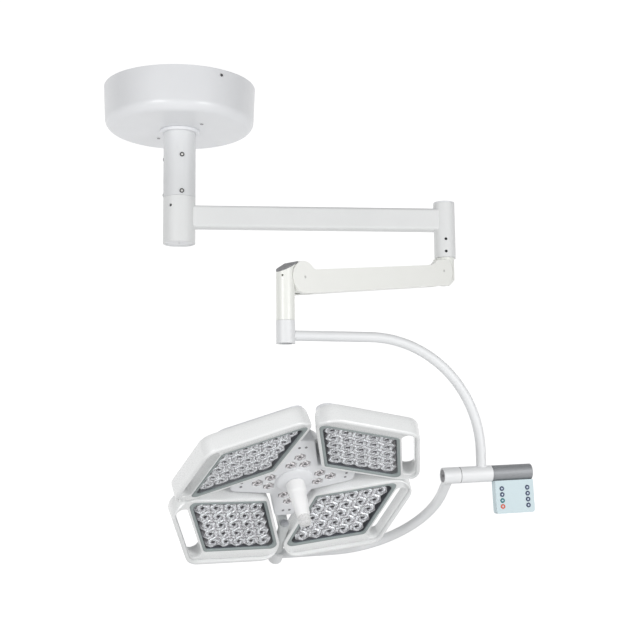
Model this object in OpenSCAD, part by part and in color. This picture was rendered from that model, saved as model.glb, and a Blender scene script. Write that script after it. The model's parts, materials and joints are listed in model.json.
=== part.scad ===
// Ceiling-mounted LED operating light: canopy, column, main arm, balanced spring arm,
// two bent-tube yokes, a key pad and a four-petal lamp head with a centre handle.
// The origin is the centre of the ceiling mounting face, +Z is up, so the light hangs below
// zero. +X runs along the main arm. Every angle below is the one at which the light stands.

/* [Ceiling canopy] */
// Outer diameter of the canopy at the ceiling
canopy_d = 420; // [360:5:480]
// Height of the canopy
canopy_h = 122; // [100:1:150]
// Radius of the rounded lower edge
canopy_fillet = 28; // [10:1:40]
// Pitch circle diameter of the ceiling bolts
bolt_circle_d = 200; // [160:5:240]
// Diameter of the ceiling bolt holes
bolt_hole_d = 13; // [9:0.5:17]
// Number of ceiling bolts
bolt_count = 6; // [4:1:8]

/* [Column and main arm] */
// Outer diameter of the column and of the main hub
column_d = 89; // [80:1:100]
// Drop from the ceiling to the seam between column and hub
column_drop = 313; // [260:1:500]
// Length of the main hub
main_hub_h = 128; // [120:1:140]
// Reach of the main arm from the column to the spring arm
arm_reach = 743.5; // [600:0.5:900]
// Height of the main arm tube
arm_h = 62; // [55:1:70]
// Depth of the main arm tube
arm_depth = 45; // [40:1:55]
// Outer diameter of the end hub
end_hub_d = 60; // [56:1:66]

/* [Spring arm] */
// Heading of the spring arm, measured back from the main arm
spring_heading = 40.5; // [30:0.5:90]
// Distance between the two lift axles
spring_length = 560; // [500:5:640]
// Dip of the spring arm below the horizontal
spring_dip = 8.5; // [-10:0.5:20]
// Distance from the end hub axis to the rear lift axle
rear_offset = 39.5; // [38:0.5:44]
// Distance from the front lift axle to the yoke axis
front_offset = 43; // [41:0.5:46]
// Width over both arm covers
cover_w = 50; // [48:1:56]

/* [Yokes] */
// Heading of the outer yoke
yoke_heading = 7.8; // [0:0.1:20]
// Reach of the outer yoke from its axis to the swivel
yoke_reach = 489; // [460:1:520]
// Drop from the outer yoke tube to the swivel axis
yoke_drop = 333; // [325:1:360]
// Bend radius of the outer yoke tube
yoke_bend = 279; // [220:1:290]
// Rise of the swivel axis towards its outer end
swivel_rise = 2.3; // [0:0.1:4]
// Outer diameter of both yoke tubes
tube_d = 25; // [22:1:28]
// Reach of the inner yoke from the head centre to its tube
inner_reach = 386; // [370:1:395]
// Distance from the swivel axis to the inner yoke tube behind the head
inner_drop = 312; // [310:1:325]
// Bend radius of the inner yoke tube
inner_bend = 238; // [200:1:250]

/* [Lamp head] */
// Tilt of the lamp head away from facing straight down
head_tilt = 34.5; // [0:0.5:60]
// Roll of the lamp head in the inner yoke
head_roll = 3; // [-10:0.5:10]
// Side length of each rhombic window
window_side = 200; // [190:1:210]
// Distance from the head centre to the inner corner of a window
petal_start = 87; // [84:1:92]
// Distance at which the four petals aim
focus_distance = 1000; // [800:50:1400]
// Width of the petal frame on its plain side
rim_w = 40; // [36:1:44]
// Width of the petal frame on the side with the grip slot
grip_rim_w = 50; // [46:1:52]
// Pitch of the hexagonal lenses
lens_pitch = 34.8; // [32:0.2:34.8]
// Lenses along each side of a petal
lens_rows = 5; // [3:1:5]
// Length of the centre handle
handle_length = 114; // [100:1:160]

/* [Key pad] */
// Width of the key pad
pad_w = 100; // [90:1:110]
// Height of the key pad
pad_h = 80; // [70:1:90]
// Diameter of a button
button_d = 11.6; // [10:0.2:12]

/* [Hidden] */
$fn = 64;
gap = 0.5;
running = 0.05;
fit = 0.02;
wall = 3;

canopy_r = canopy_d / 2;
canopy_draft = 4;
canopy_steps = 10;
plate_t = 12;
plate_d = 240;
column_r = column_d / 2;
column_wall = 4;
column_bore_r = column_r - column_wall;
hub_seam_z = -column_drop;
hub_top_z = hub_seam_z - gap;
hub_end_z = hub_top_z - main_hub_h;
main_spindle_r = 25;
main_bush_r = 32;
main_bush_h = 28;
plug_h = 122;
column_screw_r = 6;
column_screw_t = 3;

arm_z = -367;
arm_corner = 9;
end_hub_r = end_hub_d / 2;
end_hub_top_z = -316;
end_hub_end_z = -476;
rear_spindle_r = 17;
rear_bush_r = 22;
rear_bush_h = 26;

rear_pivot_z = -519;
rear_neck_r = 25;
rear_chamfer = 14;
rear_stem_r = 9;
rear_step_z = -484;
rear_block_end_z = -553;
disc_r = 40;
disc_clear_r = 41.5;
cover_top = 18;
cover_bottom = 40;
cover_skin = 2.5;
cover_half = cover_w / 2;
near_cup_top = 31;
far_cup_top = 18.5;
front_sweep_r = 14;
rear_sweep_r = 36;
tongue_half = 10;
tongue_r = 36;
cup_start = 11.5;
cheek_in = 18;
cheek_t = 3;
axle_r = 6;
tie_drop = 26;
tie_y = -13.5;
tie_w = 5;
tie_pin_r = 3;
spring_drop = 14;
spring_y = 3;
spring_z = -12;
spring_r = 11.25;
spring_wire_r = 1.75;
spring_from = 90;
spring_to = 330;
spring_turns = 26;
rod_r = 3;
rod_length = 345;

front_pivot_x = rear_offset + spring_length * cos(spring_dip);
front_pivot_z = rear_pivot_z - spring_length * sin(spring_dip);
front_r = 22.5;
front_top = 37;
front_end = -108;
slope_x = 22.5;
slope_drop = 25;
slope_run = 43;
slope_angle = atan(slope_drop / slope_run);
cap_t = 3;
front_spindle_r = 11;
front_bush_r = 16;

yoke_axis_s = front_pivot_x + front_offset;
yoke_axis = [arm_reach - yoke_axis_s * cos(spring_heading), -yoke_axis_s * sin(spring_heading)];
collar_r = 23;
collar_top_z = front_pivot_z + front_end - gap;
collar_end_z = collar_top_z - 55;
yoke_tube_z = collar_top_z - 35.5;
swivel_z = yoke_tube_z - yoke_drop;
tube_r = tube_d / 2;
tube_bore_r = tube_r - 2.5;
swivel_r = 20;
swivel_from = -58;
swivel_to = 28;
swivel_bore_r = 14;
tilt_spindle_r = 10;
hub_from = -101;
hub_bore_r = 16;
end_cap_r = 15.8;
head_from_swivel = 469;

petal_reach = petal_start + window_side / 2;
petal_tilt = atan(petal_reach / focus_distance);
half_angle = 60;
frame_depth = 36;
rim_top = 8;
inner_border = 8;
petal_r = 42;
lip_w = 12;
ledge_border = 24;
window_grow = 4;
window_r = 12;
slot_from = 8.5;
slot_end_r = 15;
slot_start = 8;
slot_length = 163;
slot_recess = 2;
recess_depth = 10;
seal_w = 6;
glass_t = 3;
board_inset = 10;
board_z = -27;
board_t = 2.5;
lens_top = -5;
lens_flat = 34.2;
lens_shift = 2;
cover_depth = 14;
cover_flange_t = 2.5;
cover_box = 16;
cover_slot = 6.2;
pad_inset = 24;

roll_axis_r = 7;
roll_housing_r = 13;
roll_housing_end = 290;
roll_housing_from = 172;
boss_r = 18;
boss_from = 295;
boss_to = 333;

lobe_root = 50.4;
lobe_tip = 152;
lobe_tip_half = 25;
hub_face = -11;
hub_skirt = 33;
hub_lens_r = 14.5;
hub_screw_r = 1.6;
handle_base_r = 45;
handle_base_h = 10;
handle_r = 22;
handle_tip_r = 14.5;

pad_from = 28;
pad_barrel_r = 19.5;
pad_top = -18.5;
pad_depth = 22;
pad_front = -15;
pad_skin = 2.5;
button_margin = 16.5;
button_first = 19.5;
button_pitch = 14.4;
button_rows = 4;
button_out = 1.2;
button_h = 5;

// ---- outlines with round corners ----

function unit(v) = v / norm(v);
function heading(v) = atan2(v.y, v.x);
function short_turn(a) = a > 180 ? a - 360 : a < -180 ? a + 360 : a;

function corner_arc(before, corner, after, r, steps) =
    let (
        u = unit(before - corner),
        v = unit(after - corner),
        half = acos(u * v) / 2,
        centre = corner + unit(u + v) * r / sin(half),
        from = heading(corner + u * r / tan(half) - centre),
        sweep = short_turn(heading(corner + v * r / tan(half) - centre) - from)
    )
    [for (i = [0:steps]) centre + r * [cos(from + sweep * i / steps), sin(from + sweep * i / steps)]];

function rounded(points, radii, steps = 6) =
    let (n = len(points))
    [for (i = [0:n - 1]) each
        corner_arc(points[(i + n - 1) % n], points[i], points[(i + 1) % n], radii[i], steps)];

// ---- frames of reference, each in the one before it ----

// Origin on the end hub axis at ceiling height, +X along the spring arm
module on_spring_swing() {
    translate([arm_reach, 0, 0])
        rotate([0, 0, 180 + spring_heading])
            children();
}

// Origin on the rear lift axle, +X along the arm to the front axle
module on_spring_arm() {
    on_spring_swing()
        translate([rear_offset, 0, rear_pivot_z])
            rotate([0, spring_dip, 0])
                children();
}

// Origin on the front lift axle, +X away from the arm
module on_front_knuckle() {
    on_spring_swing()
        translate([front_pivot_x, 0, front_pivot_z])
            children();
}

// Origin on the yoke axis at ceiling height, +X along the outer yoke
module on_yoke() {
    translate([yoke_axis.x, yoke_axis.y, 0])
        rotate([0, 0, yoke_heading])
            children();
}

// Origin where the outer yoke tube meets the swivel axis, +X outwards along that axis
module on_swivel() {
    on_yoke()
        translate([yoke_reach, 0, swivel_z])
            rotate([0, -swivel_rise, 0])
                children();
}

// Origin at the head centre, +X along the swivel axis, -Y to the roll pivot, +Z where it shines
module on_inner_yoke() {
    on_swivel()
        translate([-head_from_swivel, 0, 0])
            rotate([180 - head_tilt, 0, 0])
                children();
}

module on_head() {
    on_inner_yoke()
        rotate([0, head_roll, 0])
            children();
}

// Origin at the inner corner of window i, +X outwards, grip slot on the +Y side
module on_petal(i) {
    on_head()
        rotate([0, 0, 45 + 90 * i])
            translate([petal_start, 0, 0])
                rotate([0, -petal_tilt, 0])
                    if (i % 2 == 0) mirror([0, 1, 0]) children();
                    else children();
}

// ---- shared shapes ----

module tube(r_out, r_in, h) {
    difference() {
        cylinder(r = r_out, h = h);
        translate([0, 0, -1]) cylinder(r = r_in, h = h + 2);
    }
}

// Cylinder between two places along the X axis
module bar_x(r, from, to) {
    translate([from, 0, 0])
        rotate([0, 90, 0])
            cylinder(r = r, h = to - from);
}

// Cylinder between two places along the Y axis
module bar_y(r, from, to) {
    translate([0, from, 0])
        rotate([-90, 0, 0])
            cylinder(r = r, h = to - from);
}

module tube_elbow(r, bend) {
    rotate([90, 0, 0])
        rotate_extrude(angle = 90)
            translate([bend, 0]) circle(r = r);
}

// Tube that runs out along +X, bends down and drops to the given depth
module bent_tube(r, reach, drop, bend) {
    bar_x(r, 0, reach - bend);
    translate([reach - bend, 0, -bend]) tube_elbow(r, bend);
    translate([reach, 0, -drop])
        cylinder(r = r, h = drop - bend);
}

// ---- ceiling mount and column ----

module ceiling_plate() {
    color("gainsboro")
    difference() {
        translate([0, 0, -plate_t]) cylinder(d = plate_d, h = plate_t);
        translate([0, 0, -plate_t - 1]) cylinder(r = 20, h = plate_t + 2);
        for (i = [0:bolt_count - 1])
            rotate([0, 0, i * 360 / bolt_count])
                translate([bolt_circle_d / 2, 0, -plate_t - 1])
                    cylinder(d = bolt_hole_d, h = plate_t + 2);
    }
}

function canopy_profile(inset) =
    let (
        r_top = canopy_r - inset,
        r_low = canopy_r - canopy_draft - inset,
        r_arc = canopy_fillet - inset,
        floor_z = -canopy_h + inset
    )
    concat(
        [[r_top, -2]],
        [for (i = [0:canopy_steps])
            let (a = -i * 90 / canopy_steps)
            [r_low - r_arc + r_arc * cos(a), floor_z + r_arc + r_arc * sin(a)]]
    );

module canopy_cover() {
    hole_r = column_r + 1;
    color("white")
    difference() {
        rotate_extrude($fn = 96)
            polygon(concat([[hole_r, -2]], canopy_profile(0), [[hole_r, -canopy_h]]));
        rotate_extrude($fn = 96)
            polygon(concat([[hole_r - 5, 0]], [[canopy_r - wall, 0]], canopy_profile(wall),
                [[hole_r - 5, -canopy_h + wall]]));
        translate([0, 0, -canopy_h - 1]) cylinder(r = hole_r, h = 20);
        canopy_side_screws() bar_x(2.6, canopy_r - 10, canopy_r + 10);
        canopy_floor_screws() cylinder(r = 2.6, h = 20, center = true);
    }
}

module canopy_side_screws() {
    for (i = [0:1])
        rotate([0, 0, i * 180 - 58])
            translate([0, 0, -19])
                children();
}

module canopy_floor_screws() {
    for (i = [0:1])
        rotate([0, 0, i * 180 + 130])
            translate([94, 0, -canopy_h])
                children();
}

module canopy_screws() {
    color("silver") {
        canopy_side_screws() {
            bar_x(2.5, canopy_r - 14, canopy_r + 1);
            bar_x(4, canopy_r + 0.2, canopy_r + 2);
        }
        canopy_floor_screws() {
            translate([0, 0, -1]) cylinder(r = 2.5, h = 9);
            translate([0, 0, -1.6]) cylinder(r = 4.5, h = 1.5);
        }
    }
}

// Clamping ring that holds the canopy up on the column
module canopy_collar() {
    color("white")
    translate([0, 0, -canopy_h - 9])
        difference() {
            tube(column_r + 11, column_r + fit, 8.9);
            rotate([0, 0, 90]) translate([column_r - 2, -1, -1]) cube([16, 2, 12]);
        }
}

module column_tube() {
    color("white")
    difference() {
        union() {
            translate([0, 0, -column_drop]) cylinder(r = column_r, h = column_drop - plate_t);
            translate([0, 0, -plate_t - 10]) cylinder(r = 72, h = 10);
        }
        translate([0, 0, -column_drop - 1]) cylinder(r = column_bore_r, h = column_drop + 2);
        column_screw_places() bar_x(3.05, 30, 50);
        translate([0, 0, -60]) rotate([0, 0, 90]) bar_x(12, 30, 50);
    }
}

module column_screw_places() {
    for (z = [-200, -302])
        for (i = [0:2])
            rotate([0, 0, i * 120 - 81])
                translate([0, 0, z])
                    children();
}

// Turned plug in the column's end with the spindle that carries the main arm
module column_spindle() {
    color("slategray")
    difference() {
        union() {
            translate([0, 0, hub_seam_z]) cylinder(r = column_bore_r - fit, h = plug_h);
            translate([0, 0, hub_end_z + 19]) cylinder(r = main_spindle_r, h = main_hub_h - 18);
            translate([0, 0, hub_end_z + 11]) cylinder(r = 30, h = 8);
        }
        translate([0, 0, hub_end_z]) cylinder(r = 9, h = 400);
        column_screw_places() bar_x(3.05, 30, 50);
    }
}

module column_screws() {
    color("silver")
    column_screw_places() {
        bar_x(3, 32, column_r + 0.5);
        difference() {
            bar_x(column_screw_r, column_r + 0.1, column_r + column_screw_t);
            translate([column_r + column_screw_t, 0, 0])
                rotate([0, 90, 0]) cylinder(r = 3, h = 2.4, center = true, $fn = 6);
        }
    }
}

module power_supply() {
    color("silver")
        translate([100, -60, -canopy_h + wall + fit]) cube([64, 120, 38]);
    color("ivory")
        translate([-92, -60, -plate_t - 24]) cube([18, 36, 24 - fit]);
}

// ---- main arm ----

module arm_profile(inset) {
    a = arm_depth / 2 - inset;
    b = arm_h / 2 - inset;
    r = arm_corner - inset;
    polygon(rounded([[-b, -a], [b, -a], [b, a], [-b, a]], [r, r, r, r]));
}

module main_arm() {
    color("white")
    difference() {
        union() {
            translate([0, 0, hub_end_z]) cylinder(r = column_r, h = main_hub_h);
            translate([0, 0, arm_z])
                rotate([0, 90, 0]) linear_extrude(arm_reach) arm_profile(0);
            translate([arm_reach, 0, end_hub_end_z])
                cylinder(r = end_hub_r, h = end_hub_top_z - end_hub_end_z - 4);
        }
        translate([0, 0, arm_z])
            rotate([0, 90, 0])
                translate([0, 0, column_r - 6])
                    linear_extrude(arm_reach - column_r - end_hub_r + 12) arm_profile(wall);
        translate([0, 0, hub_end_z - 1]) cylinder(r = main_bush_r, h = main_hub_h + 2);
        translate([0, 0, hub_end_z - 1]) cylinder(r = 39, h = 9);
        translate([arm_reach, 0, end_hub_end_z - 1]) cylinder(r = rear_bush_r, h = 200);
        main_brake_place() bar_x(4.1, main_bush_r - 2, 50);
        end_brake_places() bar_x(4.1, rear_bush_r - 2, 40);
    }
}

module main_brake_place() {
    translate([0, 0, -341]) rotate([0, 0, -122]) children();
}

module end_brake_places() {
    for (z = [-425, -460])
        translate([arm_reach, 0, z]) rotate([0, 0, -95]) children();
}

// Socket-headed screw from one radius out to another
module grub_screw(from, to) {
    difference() {
        bar_x(4, from, to);
        translate([to, 0, 0]) rotate([0, 90, 0]) cylinder(r = 2, h = 5, center = true, $fn = 6);
    }
}

module arm_bushes() {
    color("goldenrod") {
        for (z = [hub_end_z + 22, hub_top_z - main_bush_h - 2])
            translate([0, 0, z]) tube(main_bush_r - fit, main_spindle_r + running, main_bush_h);
        for (z = [end_hub_end_z + 3, end_hub_top_z - 64])
            translate([arm_reach, 0, z]) tube(rear_bush_r - fit, rear_spindle_r + running, rear_bush_h);
    }
}

module hub_bottom_cap() {
    color("beige")
    translate([0, 0, hub_end_z + 2])
        difference() {
            cylinder(r = 39, h = 4);
            translate([0, 0, -1]) cylinder(r = 4, h = 6);
        }
}

// Rings that carry the supply across the turning joint
module slip_ring() {
    color("darkorange")
    translate([0, 0, -385])
        for (i = [0:2])
            translate([0, 0, i * 5]) tube(main_bush_r - fit, main_spindle_r + 0.6, 3);
}

module brake_screws() {
    color("dimgray") {
        main_brake_place() grub_screw(main_bush_r + 0.1, column_r - 4);
        end_brake_places() grub_screw(rear_bush_r + 0.1, end_hub_r - 3);
    }
}

module end_hub_cap() {
    color("white")
    translate([arm_reach, 0, end_hub_top_z - 4 + fit])
        cylinder(r = end_hub_r, h = 4 - fit);
}

// ---- rear knuckle ----

// Space that the round arm ends sweep on both sides of a tongue, about a lift axle
module disc_space() {
    for (side = [-1, 1])
        translate([0, side * (tongue_half + 25.5), 0])
            rotate([90, 0, 0])
                cylinder(r = disc_clear_r, h = 50, center = true);
}

// Flat tongue between the arm's cheeks, round about the lift axle
module tongue(length) {
    intersection() {
        translate([-length, -tongue_half, -tongue_r])
            cube([length + tongue_r, 2 * tongue_half, 2 * tongue_r]);
        union() {
            bar_y(tongue_r, -tongue_half, tongue_half);
            translate([-length, -tongue_half, -tongue_r])
                cube([length, 2 * tongue_half, 2 * tongue_r]);
        }
    }
}

module rear_knuckle() {
    height = end_hub_end_z - gap - rear_block_end_z;
    color("ivory")
    on_spring_swing()
        translate([rear_offset, 0, rear_pivot_z]) {
            difference() {
                union() {
                    translate([-rear_offset, 0, rear_block_end_z - rear_pivot_z]) {
                        cylinder(r1 = rear_neck_r - rear_chamfer, r2 = rear_neck_r, h = rear_chamfer);
                        translate([0, 0, rear_chamfer])
                            cylinder(r = rear_neck_r, h = height - rear_chamfer);
                    }
                    tongue(rear_offset);
                }
                disc_space();
                bar_y(axle_r + running, -30, 30);
                translate([-8, spring_y - 3.5, -60]) cube([60, 7, 120]);
                translate([-rear_offset, 0, rear_step_z - rear_pivot_z - fit])
                    cylinder(r = rear_spindle_r + fit, h = 120);
                translate([-rear_offset, 0, rear_block_end_z - rear_pivot_z + 20])
                    cylinder(r = rear_stem_r + fit, h = 120);
                translate([2, -tongue_half - 1, cover_top - 1])
                    cube([tongue_r, 2 * tongue_half + 2, tongue_r]);
            }
            translate([0, 0, -tie_drop]) bar_y(tie_pin_r, -17, -tongue_half + 1);
            translate([0, 0, -spring_drop]) bar_y(tie_pin_r, spring_y - 4, spring_y + 4);
        }
}

module rear_spindle() {
    color("slategray")
    translate([arm_reach, 0, 0])
        difference() {
            union() {
                translate([0, 0, rear_step_z])
                    cylinder(r = rear_spindle_r, h = end_hub_top_z - 16 - rear_step_z);
                translate([0, 0, rear_block_end_z + 20 + fit])
                    cylinder(r = rear_stem_r, h = rear_step_z - rear_block_end_z - 19);
            }
            translate([0, 0, rear_block_end_z]) cylinder(r = 7, h = 260);
        }
}

// ---- spring arm ----

module arm_frame() {
    top = 14;
    bottom = -34;
    color("lightsteelblue")
    on_spring_arm() {
        difference() {
            union() {
                for (side = [-1, 1])
                    translate([0, side > 0 ? cheek_in : -cheek_in - cheek_t, 0])
                        bar_cheek(top, bottom);
                translate([44, -cheek_in - 1, top - 3]) cube([spring_length - 88, 2 * cheek_in + 2, 3]);
                translate([44, -cheek_in - 1, bottom]) cube([spring_length - 88, 2 * cheek_in + 2, 3]);
                translate([spring_to, -3, bottom + 1]) cube([8, cheek_in + 4, top - bottom - 2]);
            }
            for (x = [0, spring_length])
                translate([x, 0, 0]) bar_y(axle_r + fit, -30, 30);
            translate([spring_to - 1, spring_y, spring_z]) bar_x(7.5, 0, 12);
        }
    }
}

module bar_cheek(top, bottom) {
    for (x = [0, spring_length])
        translate([x, 0, 0]) bar_y(x > 0 ? 20 : 15, 0, cheek_t);
    translate([0, 0, -20]) cube([46, cheek_t, 34]);
    translate([44, 0, bottom]) cube([spring_length - 88, cheek_t, top - bottom]);
    translate([spring_length - 46, 0, -20]) cube([46, cheek_t, 34]);
}

// Half of the arm's housing: two cups about the axles and the bar between them
module arm_cover(rear_top) {
    difference() {
        union() {
            translate([0, cup_start, 0]) cover_discs(disc_r, cover_half - cup_start, rear_top);
            neck_fill(spring_length, -1, front_sweep_r);
            if (rear_top > cover_top + 1)
                neck_fill(0, 1, rear_sweep_r);
            translate([42, fit, 0])
                cover_bar(0, spring_length - 84, cover_half - fit);
            translate([0, cup_start, 0])
                cover_bar(0, spring_length, cover_half - cup_start);
        }
        translate([0, cup_start - 1, 0])
            cover_discs(disc_r - cover_skin, cover_half - cover_skin - cup_start + 1, rear_top - cover_skin);
        translate([0, -1, 0])
            cover_bar(cover_skin, spring_length, cover_half - cover_skin + 1);
        for (x = [0, spring_length])
            translate([x, 0, 0]) bar_y(2.1, 10, 30);
    }
}

// Round ends of the housing, the rear one cut flat at the given height
module cover_discs(r, width, rear_top) {
    translate([spring_length, 0, 0]) bar_y(r, 0, width);
    intersection() {
        bar_y(r, 0, width);
        translate([-r, 0, -r]) cube([2 * r, width, r + rear_top]);
    }
}

// Sweep that leads from the top of the bar up to a round end
module neck_fill(x, way, r) {
    reach = sqrt(pow(disc_r + r, 2) - pow(cover_top + r, 2));
    translate([x, cover_half, 0])
        rotate([90, 0, 0])
            linear_extrude(cover_half - cup_start)
                difference() {
                    polygon([[0, 0], [way * reach, 0], [way * reach, cover_top + r]]);
                    translate([way * reach, cover_top + r]) circle(r = r);
                }
}

module cover_bar(inset, length, width) {
    translate([0, 0, -cover_bottom + inset])
        cube([length, width, cover_bottom + cover_top - 2 * inset]);
}

module cover_near() {
    color("ivory") on_spring_arm() arm_cover(near_cup_top);
}

module cover_far() {
    color("ivory") on_spring_arm() mirror([0, 1, 0]) arm_cover(far_cup_top);
}

module cover_screws() {
    color("gray")
    on_spring_arm()
        for (x = [0, spring_length])
            for (side = [0, 1])
                mirror([0, side, 0])
                    translate([x, 0, 0]) {
                        bar_y(2, cheek_in + cheek_t + fit, cover_half + 0.5);
                        bar_y(3.5, cover_half + 0.05, cover_half + 1);
                    }
}

// One polyhedral coil swept round the rod between the nut and its seat
function coil_centre(t) =
    let (a = t * spring_turns * 360)
    [spring_from + 2 + (spring_to - spring_from - 4.5) * t, spring_r * cos(a), spring_r * sin(a)];

module balance_spring() {
    coil_rings = spring_turns * 10;
    coil_sides = 6;
    points = [for (i = [0:coil_rings]) for (j = [0:coil_sides - 1])
        let (
            t = i / coil_rings,
            a = t * spring_turns * 360,
            b = j * 360 / coil_sides,
            r = spring_r + spring_wire_r * cos(b)
        )
        [coil_centre(t).x + spring_wire_r * sin(b), r * cos(a), r * sin(a)]];
    sides = [for (i = [0:coil_rings - 1]) for (j = [0:coil_sides - 1])
        let (k = (j + 1) % coil_sides)
        [i * coil_sides + j, i * coil_sides + k, (i + 1) * coil_sides + k, (i + 1) * coil_sides + j]];
    first = [[for (j = [coil_sides - 1:-1:0]) j]];
    last = [[for (j = [0:coil_sides - 1]) coil_rings * coil_sides + j]];
    color("darkgray")
    on_spring_arm()
        translate([0, spring_y, spring_z])
            polyhedron(points = points, faces = concat(sides, first, last), convexity = 10);
}

module lift_axles() {
    color("silver")
    on_spring_arm()
        for (x = [0, spring_length])
            translate([x, 0, 0]) bar_y(axle_r, -cheek_in - cheek_t, cheek_in + cheek_t);
}

// Lower bar of the parallelogram that keeps the front knuckle upright
module tie_rod() {
    color("gray")
    on_spring_swing()
        translate([rear_offset, tie_y, rear_pivot_z - tie_drop])
            rotate([0, spring_dip, 0])
                difference() {
                    union() {
                        for (x = [0, spring_length])
                            translate([x, 0, 0]) bar_y(6, -tie_w / 2, tie_w / 2);
                        translate([0, -tie_w / 2, -4]) cube([spring_length, tie_w, 8]);
                    }
                    for (x = [0, spring_length])
                        translate([x, 0, 0]) bar_y(tie_pin_r + running, -5, 5);
                }
}

module on_spring_rod() {
    on_spring_swing()
        translate([rear_offset, spring_y, rear_pivot_z - spring_drop])
            rotate([0, spring_dip, 0])
                children();
}

// Rod that draws the balance spring together as the arm comes down
module spring_rod() {
    color("silver")
    on_spring_rod()
        difference() {
            union() {
                bar_y(5.5, -3, 3);
                bar_x(rod_r, 4, rod_length);
                bar_x(8, spring_from - 6, spring_from - 2);
            }
            bar_y(tie_pin_r + running, -5, 5);
        }
}

module spring_nut() {
    color("gold")
    on_spring_rod()
        difference() {
            translate([rod_length - 6, 0, 0]) rotate([0, 90, 0]) cylinder(r = 5.5, h = 5, $fn = 6);
            bar_x(rod_r, 0, rod_length + 10);
        }
}

// ---- front knuckle ----

// Half space above the sloped top, lowered by the given depth
module above_slope(depth, from = 0) {
    translate([slope_x, -50, front_top])
        rotate([0, slope_angle, 0])
            translate([from, 0, -depth]) cube([90, 100, 60]);
}

module front_knuckle() {
    color("ivory")
    on_front_knuckle() {
        difference() {
            union() {
                translate([front_offset, 0, front_end])
                    cylinder(r = front_r, h = front_top - front_end);
                translate([0, -front_r, 0]) cube([front_offset, 2 * front_r, front_top]);
                translate([0, -tongue_half, -tongue_r]) cube([front_offset, 2 * tongue_half, tongue_r + 1]);
                bar_y(tongue_r, -tongue_half, tongue_half);
            }
            translate([-60, -30, front_top - 4]) cube([60, 60, 20]);
            disc_space();
            bar_y(axle_r + running, -30, 30);
            above_slope(cap_t);
            translate([front_offset, 0, front_end - 1]) cylinder(r = front_spindle_r + fit, h = 71);
            translate([front_offset, 0, -1]) rotate([0, 0, 27]) bar_x(3, 12, 30);
        }
        translate([0, 0, -tie_drop]) bar_y(tie_pin_r, -17, -tongue_half + 1);
    }
}

module knuckle_cap() {
    color("dimgray")
    on_front_knuckle()
        intersection() {
            union() {
                translate([front_offset, 0, 0]) cylinder(r = front_r, h = front_top);
                translate([slope_x, -front_r, 0]) cube([front_offset - slope_x, 2 * front_r, front_top]);
            }
            difference() {
                above_slope(cap_t - fit, fit);
                above_slope(0);
            }
        }
}

module front_spindle() {
    color("slategray")
    on_front_knuckle()
        translate([front_offset, 0, 0]) {
            translate([0, 0, front_end - 48]) cylinder(r = front_spindle_r, h = 117);
            translate([0, 0, front_end - 53]) cylinder(r = 15, h = 5);
        }
}

// ---- outer yoke, swivel and key pad ----

module yoke_tube() {
    color("white")
    difference() {
        union() {
            on_yoke() {
                translate([0, 0, collar_end_z]) cylinder(r = collar_r, h = collar_top_z - collar_end_z);
                translate([0, 0, yoke_tube_z])
                    bent_tube(tube_r, yoke_reach, yoke_drop - 4, yoke_bend);
            }
            on_swivel() bar_x(swivel_r, swivel_from, swivel_to - 4);
        }
        on_yoke() {
            translate([0, 0, yoke_tube_z])
                bar_x(tube_bore_r, collar_r - 5, yoke_reach - yoke_bend);
            translate([yoke_reach - yoke_bend, 0, yoke_tube_z - yoke_bend])
                tube_elbow(tube_bore_r, yoke_bend);
            translate([yoke_reach, 0, swivel_z + 10])
                cylinder(r = tube_bore_r, h = yoke_drop - yoke_bend - 10);
            translate([0, 0, collar_end_z - 1]) cylinder(r = front_bush_r, h = 100);
        }
        on_swivel() bar_x(swivel_bore_r, swivel_from - 1, swivel_to + 2);
    }
}

module yoke_bushes() {
    color("goldenrod") {
        on_yoke()
            for (z = [collar_end_z + 9, collar_top_z - 18])
                translate([0, 0, z]) tube(front_bush_r - fit, front_spindle_r + running, 17);
        on_swivel()
            for (x = [swivel_from + 1, 4])
                translate([x, 0, 0])
                    rotate([0, 90, 0]) tube(swivel_bore_r - fit, tilt_spindle_r + running, 16);
    }
}

module control_housing() {
    color("dimgray")
    on_swivel() {
        difference() {
            bar_x(pad_barrel_r, pad_from, pad_from + pad_w);
            bar_x(pad_barrel_r - 2.5, pad_from - 1, pad_from + pad_w - 3);
        }
        bar_x(swivel_bore_r - fit, pad_from - 6, pad_from - fit);
        difference() {
            bar_x(pad_barrel_r - 1, pad_from - 3.9, pad_from + 1);
            bar_x(pad_barrel_r - 4, pad_from - 5, pad_from - fit);
        }
    }
}

// Places of the eight buttons, two columns of four
function button_x(i) = pad_from + (i < button_rows ? button_margin : pad_w - button_margin);
function button_z(i) = pad_top - button_first - button_pitch * (i % button_rows);

module control_panel() {
    r = 7;
    color("lightblue")
    on_swivel()
        difference() {
            translate([pad_from, pad_front + pad_depth, pad_top])
                rotate([90, 0, 0])
                    linear_extrude(pad_depth)
                        polygon(rounded([[0, 0], [0, -pad_h], [pad_w, -pad_h], [pad_w, 0]],
                            [1, r, r, 1]));
            translate([pad_from + pad_skin, pad_front + pad_skin, pad_top - pad_h + pad_skin])
                cube([pad_w - 2 * pad_skin, pad_depth - 2 * pad_skin, pad_h - 2 * pad_skin]);
            bar_x(pad_barrel_r + fit, pad_from - 1, pad_from + pad_w + 1);
            for (i = [0:7])
                translate([button_x(i), 0, button_z(i)])
                    bar_y(button_d / 2 + 0.2, pad_front - 1, pad_front + pad_skin + 1);
        }
}

module button(i) {
    color(i == 3 ? "orangered" : "midnightblue")
    on_swivel()
        translate([button_x(i), 0, button_z(i)]) {
            bar_y(button_d / 2, pad_front - button_out, pad_front - button_out + button_h);
            bar_y(button_d / 2 + 1.2, pad_front + pad_skin + 0.1, pad_front + pad_skin + 1.1);
        }
}

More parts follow.
